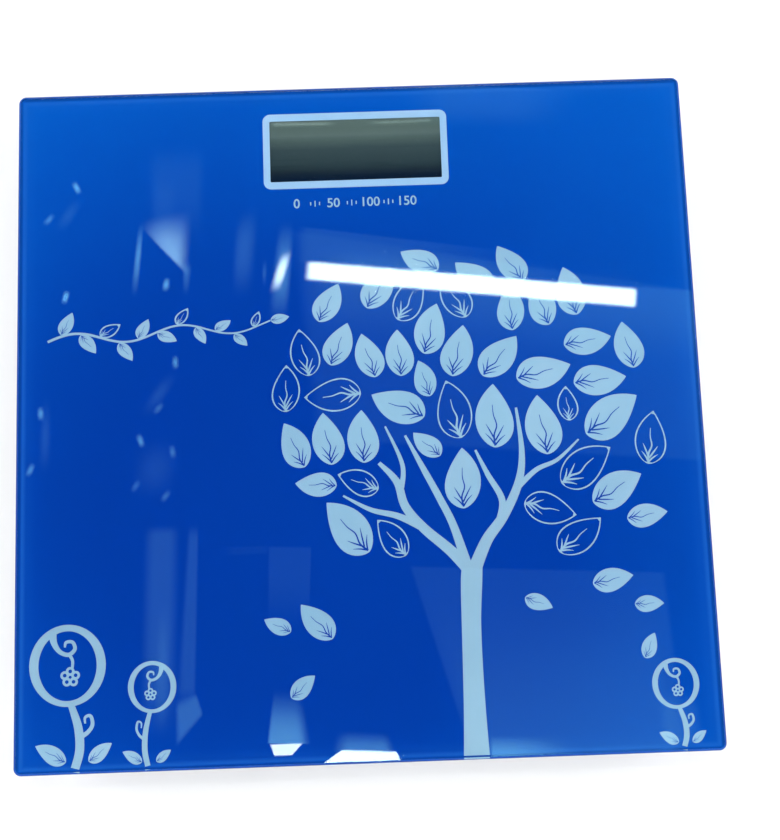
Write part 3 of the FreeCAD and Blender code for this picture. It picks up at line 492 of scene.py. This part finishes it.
# The crown: an oval that leaves of these lengths fill, up to so many of each
CROWN_X, CROWN_Y, CROWN_WIDE, CROWN_TALL = 43.5, 1.0, 79.0, 71.0
CROWN_LEAVES = ((26, 7), (23, 13), (20.5, 18), (18, 16), (15.5, 12))
CROWN_SEED = 5
CROWN_TRIES = 900
FORK_Y = -58.0              # the leaves point away from here
LEAF_SHAPE = 0.585          # a crown leaf's width for its length

# Loose leaves round the crown's foot: x and y of the middle, angle, length
LOOSE = [(-19.5, -84, 128, 19), (-35.5, -85, 150, 12), (-26, -110, 38, 13), (115, -46.5, 4, 17),
         (99.5, -72, 6, 17), (113.5, -82, -4, 12), (113, -98.5, 62, 11), (69, -80, -26, 12)]

# Ring plants: x, y and half width of the ring, and the side its stem bows to
PLANTS = [(-119.5, -98, 15.2, 1), (-86, -107.5, 9.6, -1), (122, -113.5, 9.4, 1)]


def oval(x, y):
    """0 in the middle of the crown and 1 at its edge."""
    return ((x - CROWN_X) / CROWN_WIDE) ** 2 + ((y - CROWN_Y) / CROWN_TALL) ** 2


def random_leaf(draw, length):
    """A leaf somewhere in the crown's oval, pointing more or less away from the fork."""
    ring, turn = math.sqrt(draw.random()), draw.uniform(0, 2 * math.pi)
    x = CROWN_X + CROWN_WIDE * ring * math.cos(turn)
    y = CROWN_Y + CROWN_TALL * ring * math.sin(turn)
    angle = math.degrees(math.atan2(y - FORK_Y, x - CROWN_X)) + draw.uniform(-55, 55)
    size = length * draw.uniform(0.95, 1.05)
    return Leaf(x, y, angle, size, LEAF_SHAPE * size, draw.choice((-0.09, 0.09)))


def crown_leaves():
    """Grows the crown leaf by leaf: of many random places, the snuggest free one is taken."""
    draw = random.Random(CROWN_SEED)
    taken = numpy.array([(x, y, width / 2 + 0.6) for branch in BRANCHES
                         for x, y, width in smooth_line(branch, 6)])
    leaves = []
    for length, count in CROWN_LEAVES:
        for _ in range(count):
            best, tightest = None, math.inf
            for _ in range(CROWN_TRIES):
                leaf = random_leaf(draw, length)
                beside_trunk = abs(leaf.x - CROWN_X) < 26 and leaf.y < -42
                if oval(*leaf.at(1.0)) > 1 or leaf.y < -66 or beside_trunk:
                    continue
                discs = numpy.array([(*leaf.at(share), max(leaf.half_width(share), 0.3) + 0.25)
                                     for share in (0.03, 0.15, 0.3, 0.45, 0.6, 0.75, 0.88, 1.0)])
                apart = numpy.hypot(discs[:, None, 0] - taken[None, :, 0],
                                    discs[:, None, 1] - taken[None, :, 1])
                room = (apart - discs[:, None, 2] - taken[None, :, 2]).min(axis=1)
                loose = numpy.minimum(room, 9).mean()
                if room.min() >= 0 and loose < tightest:
                    best, tightest, best_discs = leaf, loose, discs
            if best:
                leaves.append(best)
                taken = numpy.vstack((taken, best_discs))
    return leaves


def add_filled_leaf(blades, veins, leaf):
    add_prism(blades, leaf.outline(), ART_LOW, ART_TOP)
    leaf.add_veins(veins, VEIN_TOP)


def add_line_leaf(lines, leaf):
    add_band(lines, leaf.outline(), leaf.outline(0.62), ART_LOW, ART_TOP)
    leaf.add_veins(lines, ART_TOP - 0.003, 0.7)


def make_tree(pale, leaf_paint, blue):
    blades, veins, lines, wood = (bmesh.new() for _ in range(4))
    for number, leaf in enumerate(crown_leaves()):
        if number % 10 in (2, 5, 9):
            add_line_leaf(lines, leaf)
        else:
            add_filled_leaf(blades, veins, leaf)
    for x, y, angle, length in LOOSE:
        turn = math.radians(angle)
        base_x, base_y = x - length / 2 * math.cos(turn), y - length / 2 * math.sin(turn)
        add_filled_leaf(blades, veins, Leaf(base_x, base_y, angle, length, length * 0.56, 0.06))
    add_stroke(wood, TRUNK, ART_TOP)
    for number, branch in enumerate(BRANCHES):
        add_stroke(wood, branch, ART_TOP - 0.001 * (number + 1))
    piece("tree_leaves_filled", blades, leaf_paint)
    piece("tree_leaf_veins", veins, blue)
    piece("tree_leaves_outlined", lines, pale)
    piece("tree_trunk_and_branches", wood, pale)


def make_plants(pale, leaf_paint, blue):
    """Round-headed plants: a ring on a stem, a curl and a flower in it, two leaves below."""
    rings, blades, veins = (bmesh.new() for _ in range(3))
    for x, y, radius, hand in PLANTS:
        foot = TRUNK_FOOT + 0.6
        tall = radius * 1.06
        drop = y - tall - foot
        add_band(rings, ellipse_loop(x, y, radius, tall),
                 ellipse_loop(x, y - 0.01 * radius, 0.76 * radius, tall - 0.16 * radius),
                 ART_LOW, ART_TOP)

        def stroke(points, order, steps=8):
            """Points in half widths: across from the middle, up from the ring's, and wide."""
            add_stroke(rings, [(x + hand * across * radius, y + up * radius, width * radius)
                               for across, up, width in points], ART_TOP - 0.001 * order, steps)

        def stem(share):
            """Heights on the stem, from the foot at 0 to the ring at 1, in half widths."""
            return (foot + share * drop - y) / radius

        stroke([(0.10, stem(1.02), 0.17), (0.28, stem(0.66), 0.22), (0.32, stem(0.30), 0.23),
                (0.20, stem(0), 0.22)], 1)
        stroke([(0.33, stem(0.50), 0.13), (0.53, stem(0.58), 0.11), (0.65, stem(0.70), 0.10),
                (0.60, stem(0.84), 0.09), (0.46, stem(0.82), 0.07), (0.46, stem(0.72), 0.05)], 2)
        stroke([(-0.40, 0.84, 0.22), (-0.35, 0.58, 0.16), (-0.20, 0.36, 0.12), (0.03, 0.28, 0.11),
                (0.19, 0.42, 0.10), (0.13, 0.60, 0.09), (-0.04, 0.60, 0.08), (-0.07, 0.47, 0.05)], 3)
        stroke([(0.04, 0.29, 0.09), (0.13, 0.12, 0.08), (0.12, -0.10, 0.07)], 4)
        petal = radius * 0.115
        for turn in range(5):
            angle = math.radians(90 + 72 * turn)
            middle_x = x + hand * 0.07 * radius + 1.3 * petal * math.cos(angle)
            middle_y = y - 0.30 * radius + 1.3 * petal * math.sin(angle)
            add_band(rings, ellipse_loop(middle_x, middle_y, petal, petal, 20),
                     ellipse_loop(middle_x, middle_y, petal * 0.42, petal * 0.42, 20),
                     ART_LOW, ART_TOP - 0.001 * turn)
        for way, out, angle, size in ((-1, 0.22, 156, 0.92), (1, 0.34, 32, 0.76)):
            base_x = x + hand * 0.20 * radius + way * out * radius
            leaf = Leaf(base_x, foot + 0.16 * radius, angle, size * radius, 0.5 * size * radius, way * 0.08)
            add_filled_leaf(blades, veins, leaf)
    piece("plant_rings_and_stems", rings, pale)
    piece("plant_leaves", blades, leaf_paint)
    piece("plant_leaf_veins", veins, blue)


def make_garland(pale, leaf_paint, blue):
    """A trailing sprig across the left of the platform."""
    vine, blades, veins = (bmesh.new() for _ in range(3))
    start, end, level = -128.0, -36.0, 36.0
    span = end - start

    def height(x):
        return level + 0.05 * (x - start) - 2 + 2.6 * math.sin((x - start) / span * 4.2 * math.pi)

    knots = [start + span * i / 18 for i in range(19)]
    add_stroke(vine, [(x, height(x), 1.1 - 0.45 * i / 18) for i, x in enumerate(knots)],
               ART_TOP - 0.001, 6)
    for i in range(1, 12):
        x = start + span * (i - 0.3) / 11.6
        way = 1 if i % 2 else -1
        slope = math.degrees(math.atan2(height(x + 1) - height(x - 1), 2))
        size = 11.0 - 0.36 * i
        leaf = Leaf(x, height(x) + way * 0.4, slope + way * 52, size, size * 0.54, -way * 0.08)
        if i % 4 == 3:
            add_line_leaf(vine, leaf)
        else:
            add_filled_leaf(blades, veins, leaf)
    add_filled_leaf(blades, veins, Leaf(end, height(end), 10, 8, 4.2))
    piece("garland_vine", vine, pale)
    piece("garland_leaves", blades, leaf_paint)
    piece("garland_leaf_veins", veins, blue)


def make_capacity_marks(pale):
    """A line of plain numbers between small rules, under the display."""
    left, right, level, tall = -25.8, 28.5, 89.9, 5.6
    rules = bmesh.new()
    labels = ("0", "50", "100", "150")
    places = [left + 2 + (right - left - 8) * i / 3 for i in range(4)]
    for label, x in zip(labels, places):
        curve = bpy.data.curves.new("number_" + label, "FONT")
        curve.body = label
        curve.align_x, curve.align_y = "CENTER", "CENTER"
        curve.size = tall * MM
        curve.offset = 0.00008
        curve.extrude = (ART_TOP - ART_LOW) / 2 * MM
        curve.resolution_u = 6
        text = bpy.data.objects.new("number_text", curve)
        bpy.context.scene.collection.objects.link(text)
        bpy.context.view_layer.update()
        mesh = bpy.data.meshes.new_from_object(text)
        bpy.data.objects.remove(text)
        mesh.transform(Matrix.Translation((x * MM, level * MM, (ART_TOP + ART_LOW) / 2 * MM)))
        piece("number_" + label, mesh, pale)
    for a, b in zip(places, places[1:]):
        for k in range(1, 4):
            x = a + (b - a) * (0.5 + (k - 2) * 0.12)
            tall_tick = 2.6 if k == 2 else 1.5
            add_prism(rules, rounded_loop(x, level, 0.5, tall_tick, 0.15, 3), ART_LOW, ART_TOP)
    piece("capacity_rules", rules, pale)


def make_prints(blue, border_paint):
    wide = SIDE - 2 * PRINT_INSET
    back = bmesh.new()
    window = (DISPLAY_X, DISPLAY_Y, BORDER_WIDE - 2, BORDER_DEEP - 2, 2.4)
    add_band(back, rounded_loop(0, 0, wide, wide, 2.2), rounded_loop(*window),
             PRINT_LOW, BACKING_TOP)
    piece("blue_backing", back, blue, replaces=("printed_backing",))
    ring = bmesh.new()
    inner_wide, inner_deep = BORDER_WIDE - 2 * BORDER_BAND, BORDER_DEEP - 2 * BORDER_BAND - 0.6
    add_band(ring, rounded_loop(DISPLAY_X, DISPLAY_Y, BORDER_WIDE, BORDER_DEEP, 3.2, 12),
             rounded_loop(DISPLAY_X, DISPLAY_Y, inner_wide, inner_deep, 0.5, 12),
             PRINT_LOW, ART_TOP)
    piece("display_border_print", ring, border_paint, replaces=("display_border",))


# ---------------------------------------------------------------- underside details

def make_foot_pads(paint):
    """Rubber pads with concentric grips in place of the plain CAD discs."""
    for corner in ("front_left", "front_right", "rear_left", "rear_right"):
        node = "foot_pad_" + corner
        low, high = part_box(node)
        middle = (low + high) / 2
        radius, top = (high.x - low.x) / 2 / MM, high.z / MM
        profile = [(0.0, 0.55), (1.6, 0.55), (1.9, 0.0)]
        grip = 2.9
        while grip < radius - 2.2:
            profile += [(grip, 0.0), (grip + 0.35, 0.55), (grip + 0.95, 0.55), (grip + 1.3, 0.0)]
            grip += 2.6
        profile += [(radius - 0.5, 0.0), (radius - 0.12, 0.14), (radius, 0.5), (radius, top), (0.0, top)]
        mesh = bmesh.new()
        steps = 72
        rings = []
        for r, z in profile:
            if r == 0:
                rings.append([mesh.verts.new((middle.x, middle.y, z * MM))])
                continue
            rings.append([mesh.verts.new((middle.x + r * MM * math.cos(2 * math.pi * i / steps),
                                          middle.y + r * MM * math.sin(2 * math.pi * i / steps),
                                          z * MM)) for i in range(steps)])
        for one, two in zip(rings, rings[1:]):
            for i in range(steps):
                j = (i + 1) % steps
                corners = [one[i % len(one)], one[j % len(one)], two[j % len(two)], two[i % len(two)]]
                unique = list(dict.fromkeys(corners))
                if len(unique) > 2:
                    mesh.faces.new(unique)
        piece("rubber_pad_" + corner, mesh, paint, "foot_" + corner, (node,))


def make_label_rules(paint):
    """Empty ruled boxes on the underside's label: no words."""
    low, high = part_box("rating_label")
    x, y = (low.x + high.x) / 2 / MM, (low.y + high.y) / 2 / MM
    wide, deep, under = (high.x - low.x) / MM - 6, (high.y - low.y) / MM - 6, low.z / MM
    rules = bmesh.new()
    outer, inner = rounded_loop(x, y, wide, deep, 1.2), rounded_loop(x, y, wide - 0.8, deep - 0.8, 0.8)
    add_band(rules, outer, inner, under - 0.02, under + 0.05)
    for step in range(1, 5):
        row = y - deep / 2 + deep * step / 5
        add_prism(rules, rounded_loop(x, row, wide - 1, 0.3, 0.1, 2), under - 0.02, under + 0.05)
    add_prism(rules, rounded_loop(x - wide * 0.18, y, 0.3, deep - 1, 0.1, 2), under - 0.02, under + 0.05)
    piece("label_rules", rules, paint)


# ---------------------------------------------------------------- studio

def make_studio():
    floor_mesh = bmesh.new()
    bmesh.ops.create_grid(floor_mesh, x_segments=4, y_segments=4, size=6.0)
    mesh = bpy.data.meshes.new("floor")
    floor_mesh.to_mesh(mesh)
    floor_mesh.free()
    floor = bpy.data.objects.new("floor", mesh)
    bpy.context.scene.collection.objects.link(floor)
    paint = Paint("studio_floor")
    paint.colour(paint.noise(2, 2), (0.95, 0.95, 0.95), (0.965, 0.965, 0.965))
    paint.put(Roughness=0.8, Specular_IOR_Level=0.1, Emission_Color=(1, 1, 1, 1), Emission_Strength=0.08)
    # clear from below, clear to lamps, and fading into the surround some way out
    length = paint.add("ShaderNodeVectorMath", operation="LENGTH")
    paint.link(paint.place, length.inputs[0])
    fade = paint.spread(length.outputs["Value"], 1.0, 2.6, ease="SMOOTHSTEP")
    below = paint.add("ShaderNodeNewGeometry").outputs["Backfacing"]
    shadow = paint.add("ShaderNodeLightPath").outputs["Is Shadow Ray"]
    clearness = paint.maths("MAXIMUM", paint.maths("MAXIMUM", below, shadow), fade)
    clear = paint.add("ShaderNodeBsdfTransparent")
    paint.show(paint.mix(clearness, paint.shader.outputs["BSDF"], clear.outputs["BSDF"]))
    mesh.materials.append(paint.material)
    floor.visible_glossy = False


def area_light(name, place, target, wide, tall, watts):
    """A soft lamp that the glass doesn't mirror."""
    data = bpy.data.lights.new(name, "AREA")
    data.shape = "RECTANGLE"
    data.size, data.size_y = wide, tall
    data.energy = watts
    lamp = bpy.data.objects.new(name, data)
    bpy.context.scene.collection.objects.link(lamp)
    lamp.location = place
    lamp.rotation_euler = (Vector(target) - Vector(place)).to_track_quat("-Z", "Y").to_euler()
    lamp.visible_glossy = False


def glow_card(name, corners, height, level, fades, colour):
    """A card overhead that only the glass mirrors, adding its light to what lies behind it.

    corners run clockwise from the front left, the front being the display's side; fades are the
    shares of the card over which its light comes up from the left, right, front and rear.
    """
    cells = 8
    mesh = bmesh.new()
    layer = mesh.loops.layers.uv.new("card")
    front_left, front_right, rear_right, rear_left = (Vector(corner) for corner in corners)
    grid = []
    for i in range(cells + 1):
        left, right = front_left.lerp(rear_left, i / cells), front_right.lerp(rear_right, i / cells)
        grid.append([mesh.verts.new((*left.lerp(right, j / cells), height)) for j in range(cells + 1)])
    for i in range(cells):
        for j in range(cells):
            steps = ((i, j), (i, j + 1), (i + 1, j + 1), (i + 1, j))
            face = mesh.faces.new([grid[row][column] for row, column in steps])
            for loop, (row, column) in zip(face.loops, steps):
                loop[layer].uv = (column / cells, row / cells)
    data = bpy.data.meshes.new(name)
    mesh.to_mesh(data)
    mesh.free()
    card = bpy.data.objects.new(name, data)
    bpy.context.scene.collection.objects.link(card)
    card.visible_camera = False
    card.visible_diffuse = False
    card.visible_shadow = False
    material = bpy.data.materials.new(name)
    graph = Nodes(material)
    graph.tree.nodes.clear()
    place = graph.split(graph.add("ShaderNodeTexCoord").outputs["UV"])
    strength = level
    for fade, axis, edge in zip(fades, "XXYY", (0, 1, 0, 1)):
        rise = graph.spread(place[axis], edge, abs(edge - fade), ease="SMOOTHSTEP")
        strength = graph.maths("MULTIPLY", strength, rise)
    light = graph.add("ShaderNodeEmission")
    light.inputs["Color"].default_value = (*colour, 1)
    graph.link(strength, light.inputs["Strength"])
    both = graph.add("ShaderNodeAddShader")
    graph.link(graph.add("ShaderNodeBsdfTransparent").outputs["BSDF"], both.inputs[0])
    graph.link(light.outputs["Emission"], both.inputs[1])
    graph.link(both.outputs["Shader"], graph.add("ShaderNodeOutputMaterial").inputs["Surface"])
    data.materials.append(material)


# Bright things overhead that the platform mirrors: colour, brightness, where the images of
# their corners fall on the glass (x and y in millimetres, clockwise from the front left), and the
# shares of them over which they come up from the left, right, front and rear.
CARD_HEIGHT, CARD_GAP = 1.98, 0.0001        # metres above the glass, and from card to card
FAINT, PALE, STRONG = (0.30, 0.90, 1.0), (0.50, 0.95, 1.0), (0.80, 1.0, 0.90)
EVEN = (0.5, 0.5, 0.5, 0.5)
MIRRORED = {
    "ceiling": (FAINT, 0.42, (-28, 79), (140, 47), (139, -26), (-20, -12), (0.04, 0.01, 0.03, 0.03)),
    "ceiling_end": (FAINT, 0.65, (-24, 80), (77, 64), (76, 51), (-25, 63), (0.06, 0.6, 0.08, 0.1)),
    "ceiling_strip": (FAINT, 1.3, (-20, 73), (102, 59), (101, 43), (-21, 52), (0.2, 0.6, 0.6, 0.4)),
    "ceiling_near": (FAINT, 0.85, (-23, 64), (140, 47), (142, 12), (-24, 29), (0.1, 0.02, 0.05, 0.85)),
    "far_wall": (FAINT, 0.65, (21, 141), (102, 135), (91, 116), (21, 121), (0.3, 0.4, 0.02, 0.6)),
    "door": (FAINT, 1.0, (-89, -43), (-73, -43), (-75, -130), (-92, -130), (0.35, 0.35, 0.06, 0.3)),
    "door_gleam": (FAINT, 0.8, (-84, -73), (-77, -73), (-79, -128), (-86, -128), (0.5, 0.5, 0.4, 0.3)),
    "door_edge": (FAINT, 0.85, (-71, -43), (-66, -43), (-68, -115), (-77, -115), (0.4, 0.2, 0.1, 0.1)),
    "door_foot": (FAINT, 2.2, (-77, -112), (-68, -110), (-65, -119), (-77, -133), (0.25, 0.1, 0.3, 0.2)),
    "blind": (FAINT, 0.45, (-39, -53), (-21, -54), (-23, -91), (-40, -91), (0.08, 0.04, 0.04, 0.7)),
    "blind_rail": (FAINT, 0.2, (-57, -53), (-39, -53), (-39, -57), (-57, -57), (0.3, 0.02, 0.2, 0.2)),
    "sill_glow": (FAINT, 5.5, (-38, -109), (-26, -110), (-23, -132), (-41, -131), (0.1, 0.35, 0.95, 0.02)),
    "sill": (STRONG, 24, (-40, -131), (-26, -131), (-31, -136), (-38, -136), (0.08, 0.08, 0.15, 0.15)),
    "ledge_glow": (FAINT, 3.6, (-14, -126), (8, -128), (10, -136), (-16, -135), (0.3, 0.2, 0.9, 0.02)),
    "ledge": (STRONG, 30, (-11, -134), (10, -135.5), (13, -142), (-22, -141), (0.03, 0.03, 0.15, 0.02)),
    "wall": (FAINT, 0.45, (17, -63), (121, -69), (125, -142), (39, -139), (0.02, 0.03, 0.02, 0.02)),
    "wall_foot": (FAINT, 0.6, (18, -69), (121, -72), (125, -142), (39, -139), (0.1, 0.1, 0.95, 0.02)),
    "skirting": (FAINT, 4.5, (46, -130), (80, -131), (86, -143), (46, -142), (0.06, 0.9, 0.6, 0.02)),
    "corner": (FAINT, 0.9, (113, -116), (131, -116), (132, -138), (113, -137), (0.3, 0.3, 0.4, 0.1)),
    "shade": (PALE, 8.5, (-89, 85), (-66, 90), (-69, 58), (-89, 81), (0.6, 0.3, 0.85, 0.08)),
    "shade_left": (FAINT, 5.5, (-90, 84), (-87, 84), (-90, 50), (-94, 50), (0.5, 0.4, 0.45, 0.55)),
    "shade_right": (FAINT, 2.2, (-72, 66), (-67, 66), (-69, 50), (-72, 50), (0.4, 0.5, 0.3, 0.7)),
    "pane": (FAINT, 0.45, (-87, 118), (-60, 118), (-62, 68), (-87, 72), (0.25, 0.2, 0.3, 0.6)),
    "pane_gleam": (FAINT, 0.3, (-85, 104), (-72, 104), (-74, 76), (-86, 76), (0.4, 0.4, 0.4, 0.3)),
    "curtain": (FAINT, 1.3, (-50, 86), (-38, 92), (-42, 47), (-53, 48), (0.4, 0.5, 0.4, 0.5)),
    "curtain_edge": (FAINT, 1.5, (-39, 66), (-36, 66), (-37, 53), (-39, 53), EVEN),
    "lamp_glow": (FAINT, 4, (-32, 83), (-24, 83), (-28, 37), (-38, 37), (0.45, 0.35, 0.5, 0.5)),
    "lamp": (STRONG, 24, (-31, 69), (-25, 70), (-31, 51), (-37, 50), (0.45, 0.4, 0.45, 0.45)),
    "display_gleam": (STRONG, 1.5, (-34, 125.5), (-5, 125), (-5, 123), (-34, 123.5), (0.1, 0.3, 0.4, 0.4)),
    "display_end": (STRONG, 1.3, (6, 124.5), (35, 125), (35, 123.5), (6, 123), (0.3, 0.1, 0.4, 0.4)),
    "ripple_high": (FAINT, 0.8, (-117, 96), (-111, 94), (-120, 78), (-127, 81), EVEN),
    "ripple_middle": (FAINT, 0.8, (-79, 21), (-71, 19), (-85, -2), (-92, 2), EVEN),
    "ripple_low": (FAINT, 0.6, (-93, -7), (-71, -6), (-74, -35), (-96, -35), EVEN),
    "ripple_left": (FAINT, 0.8, (-130, 13), (-125, 11), (-125, -23), (-132, -24), EVEN),
}
# Small glints: x and y of the image on the glass, its turn in degrees, and its brightness
GLINT_WIDE, GLINT_TALL = 3.5, 7.0
GLINTS = [(-115.5, 99, 25, 9), (-127, 85.5, -40, 4), (-120, 52, -15, 10), (-78.5, 56, -10, 8.5),
          (-75, 23, 0, 6), (-130, 3.5, 4, 6), (-89.5, -9, 18, 6), (-134, -19.5, -25, 5),
          (-82, 4, -40, 2.6), (-76.5, -14, 8, 3), (-79.5, -32, -35, 2.4), (-91.5, -27.5, -30, 2)]
# The strip light: where the ends of its image fall, half its image's width, its brightness as
# the glass mirrors it, and the width in metres and the watts of the lamp that lights the scene
STRIP_LEFT, STRIP_RIGHT, STRIP_HALF = Vector((-21.5, 60.3)), Vector((116.8, 43.7)), 4.75
STRIP_LEVEL, STRIP_FADES = 34, (0.03, 0.02, 0.25, 0.25)
STRIP_LAMP_WIDE, STRIP_LAMP_WATTS = 0.038, 3.0
STRIP_ABOVE = 0.02          # metres above the lowest card


def mirrored(x, y, height):
    """The point, so high above the glass, that the camera sees mirrored at (x, y) on it."""
    stretch = height / (CAMERA_SPOT.z - GLASS_HIGH.z)
    place = Vector((x, y)) * MM
    return place + (place - CAMERA_SPOT.to_2d()) * stretch


def make_mirrored_room():
    things = dict(MIRRORED)
    for number, (x, y, turn, level) in enumerate(GLINTS):
        along = Vector((math.cos(math.radians(turn)), math.sin(math.radians(turn))))
        across, ahead = along * GLINT_WIDE / 2, Vector((-along.y, along.x)) * GLINT_TALL / 2
        middle = Vector((x, y))
        corners = (middle - across + ahead, middle + across + ahead,
                   middle + across - ahead, middle - across - ahead)
        things["glint_%d" % number] = (FAINT, level, *corners, EVEN)
    for number, (name, (colour, level, *corners, fades)) in enumerate(things.items()):
        height = CARD_HEIGHT + CARD_GAP * number
        glow_card(name, [mirrored(*corner, height) for corner in corners], GLASS_HIGH.z + height,
                  level, fades, colour)


def make_strip_light():
    """The strip light overhead, whose image crosses the platform."""
    height = CARD_HEIGHT + STRIP_ABOVE
    along = (STRIP_RIGHT - STRIP_LEFT).normalized()
    across = Vector((-along.y, along.x)) * STRIP_HALF
    corners = (STRIP_LEFT + across, STRIP_RIGHT + across, STRIP_RIGHT - across, STRIP_LEFT - across)
    glow_card("strip_tube", [mirrored(*corner, height) for corner in corners], GLASS_HIGH.z + height,
              STRIP_LEVEL, STRIP_FADES, STRONG)
    one, two = mirrored(*STRIP_LEFT, height), mirrored(*STRIP_RIGHT, height)
    middle = ((one + two) / 2).to_3d() + Vector((0, 0, GLASS_HIGH.z + height))
    area_light("strip", middle, middle - Vector((0, 0, 1)), (two - one).length, STRIP_LAMP_WIDE,
               STRIP_LAMP_WATTS)


def make_lights():
    centre = (0, 0, 0.01)
    for name, place, wide, tall, watts in (("soft_left", (-2.4, 0.5, 1.5), 1.8, 1.4, 44),
                                           ("soft_right", (2.4, 0.3, 1.5), 1.8, 1.4, 44),
                                           ("soft_near", (0.2, -2.6, 1.3), 2.2, 1.2, 44),
                                           ("soft_far", (0.1, 3.2, 1.7), 2.4, 1.2, 42)):
        area_light(name, place, centre, wide, tall, watts)
    make_strip_light()
    make_mirrored_room()
    make_world()


def make_world():
    """A pale surround, kept dark for what the glass mirrors and even for the camera."""
    world = bpy.data.worlds.new("studio")
    bpy.context.scene.world = world
    graph = Nodes(world)
    direction = graph.split(graph.add("ShaderNodeTexCoord").outputs["Generated"])
    height = graph.spread(direction["Z"], -1, 1)
    rays = graph.add("ShaderNodeLightPath").outputs
    lit = [(0.0, 0.75), (0.5, 0.9), (0.62, 0.75), (0.86, 0.16), (0.95, 0.05)]
    glossy = [(0.0, 0.24), (0.5, 0.32), (0.62, 0.28), (0.86, 0.07), (0.95, 0.008)]
    surrounds = [graph.ramp(height, [(at, (level,) * 3) for at, level in stops]) for stops in (lit, glossy)]
    around = graph.mix(rays["Is Glossy Ray"], *surrounds)
    seen = graph.mix(rays["Is Camera Ray"], around, (0.97, 0.97, 0.97))
    graph.link(seen, graph.tree.nodes["Background"].inputs["Color"])


def make_camera():
    data = bpy.data.cameras.new("camera")
    data.sensor_width = CAMERA_SENSOR
    data.lens = CAMERA_LENS
    camera = bpy.data.objects.new("camera", data)
    bpy.context.scene.collection.objects.link(camera)
    camera.location = CAMERA_SPOT
    camera.rotation_euler = [math.radians(angle) for angle in CAMERA_TURN]
    bpy.context.scene.camera = camera


# ---------------------------------------------------------------- assembly

make_camera()

tray = moulded("tray_plastic", (0.70, 0.72, 0.73), 0.42)
blue = blue_enamel()
pale = enamel("pale_enamel", (0.23, 0.37, 0.48), (0.27, 0.41, 0.53))
leaf_paint = enamel("leaf_enamel", (0.22, 0.38, 0.515), (0.285, 0.43, 0.555))
border_paint = enamel("border_enamel", (0.26, 0.42, 0.62), (0.31, 0.47, 0.66))
plastic_dark = moulded("holder_plastic", (0.03, 0.03, 0.033), 0.5)
steel = plated("cell_steel", (0.62, 0.63, 0.65), (1, 12, 1))
contact = plated("contact_metal", (0.74, 0.74, 0.72))
screw = plated("screw_steel", (0.66, 0.65, 0.60))
retainer = moulded("retainer_plastic", (0.74, 0.76, 0.76), 0.5)
foot = moulded("foot_plastic", (0.62, 0.64, 0.65), 0.5)
red, black, white = (rubber("wire_" + word, colour) for word, colour in
                     (("red", (0.6, 0.04, 0.03)), ("black", (0.03, 0.03, 0.03)),
                      ("white", (0.8, 0.8, 0.78))))

FINISHES = {
    "glass_platform": clear_glass("platform_glass", (0.93, 0.985, 0.97)),
    "bonding_tape": foam("foam_tape", (0.85, 0.85, 0.83)),
    "base_tray": tray, "battery_door": tray, "battery_door_latch": tray,
    "strain_gauges": rubber("gauge_sealant", (0.85, 0.85, 0.82)),
    "retainer_screws": screw, "board_screws": screw,
    "lcd_front_polariser": polariser_film(),
    "lcd_front_glass": clear_glass("display_glass", (0.90, 0.96, 0.93)),
    "lcd_rear_glass": clear_glass("display_rear_glass", (0.88, 0.95, 0.92)),
    "lcd_reflector": plated("reflector_film", (0.58, 0.60, 0.58), (30, 1, 1), 0.4),
    "display_holder": plastic_dark,
    "display_gasket": foam("black_foam", (0.03, 0.03, 0.03)),
    "zebra_connector": banded("zebra_rubber", [(0.0, (0.4, 0.36, 0.4)), (0.35, (0.05, 0.05, 0.05)),
                                               (0.65, (0.4, 0.36, 0.4))], "Z",
                              *(corner.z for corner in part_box("zebra_connector")), 0.6),
    "circuit_board": moulded("board_laminate", (0.03, 0.20, 0.08), 0.35, 900),
    "chip_cover": moulded("chip_epoxy", (0.015, 0.015, 0.016), 0.25, 500),
    "board_components": moulded("component_ceramic", (0.32, 0.24, 0.17), 0.4, 1500),
    "unit_switch": plastic_dark, "unit_switch_plunger": plastic_dark,
    "unit_button": moulded("button_plastic", (0.10, 0.11, 0.12), 0.5),
    "battery_one": battery_sleeve("battery_sleeve_one", "battery_one", False),
    "battery_two": battery_sleeve("battery_sleeve_two", "battery_two", True),
    "rating_label": moulded("label_film", (0.62, 0.63, 0.65), 0.38, 1200, 0.00001),
    "load_cell_wires_red": red, "load_cell_wires_white": white, "load_cell_wires_black": black,
    "battery_wire_red": red, "battery_wire_black": black,
}
for word in ("positive_plate", "negative_plate", "negative_spring", "bridge_plate", "bridge_spring"):
    FINISHES["battery_" + word] = contact
for corner in ("front_left", "front_right", "rear_left", "rear_right"):
    FINISHES["foot_" + corner] = foot
    FINISHES["load_cell_" + corner] = steel
    FINISHES["load_cell_retainer_" + corner] = retainer
for name, finish in FINISHES.items():
    nodes[name].data.materials.clear()
    nodes[name].data.materials.append(finish)

make_prints(blue, border_paint)
make_tree(pale, leaf_paint, blue)
make_plants(pale, leaf_paint, blue)
make_garland(pale, leaf_paint, blue)
make_capacity_marks(pale)
make_foot_pads(rubber("foot_rubber", (0.035, 0.035, 0.037)))
make_label_rules(moulded("label_ink", (0.09, 0.09, 0.10), 0.5))
make_studio()
make_lights()
bpy.context.scene.view_settings.view_transform = "Standard"
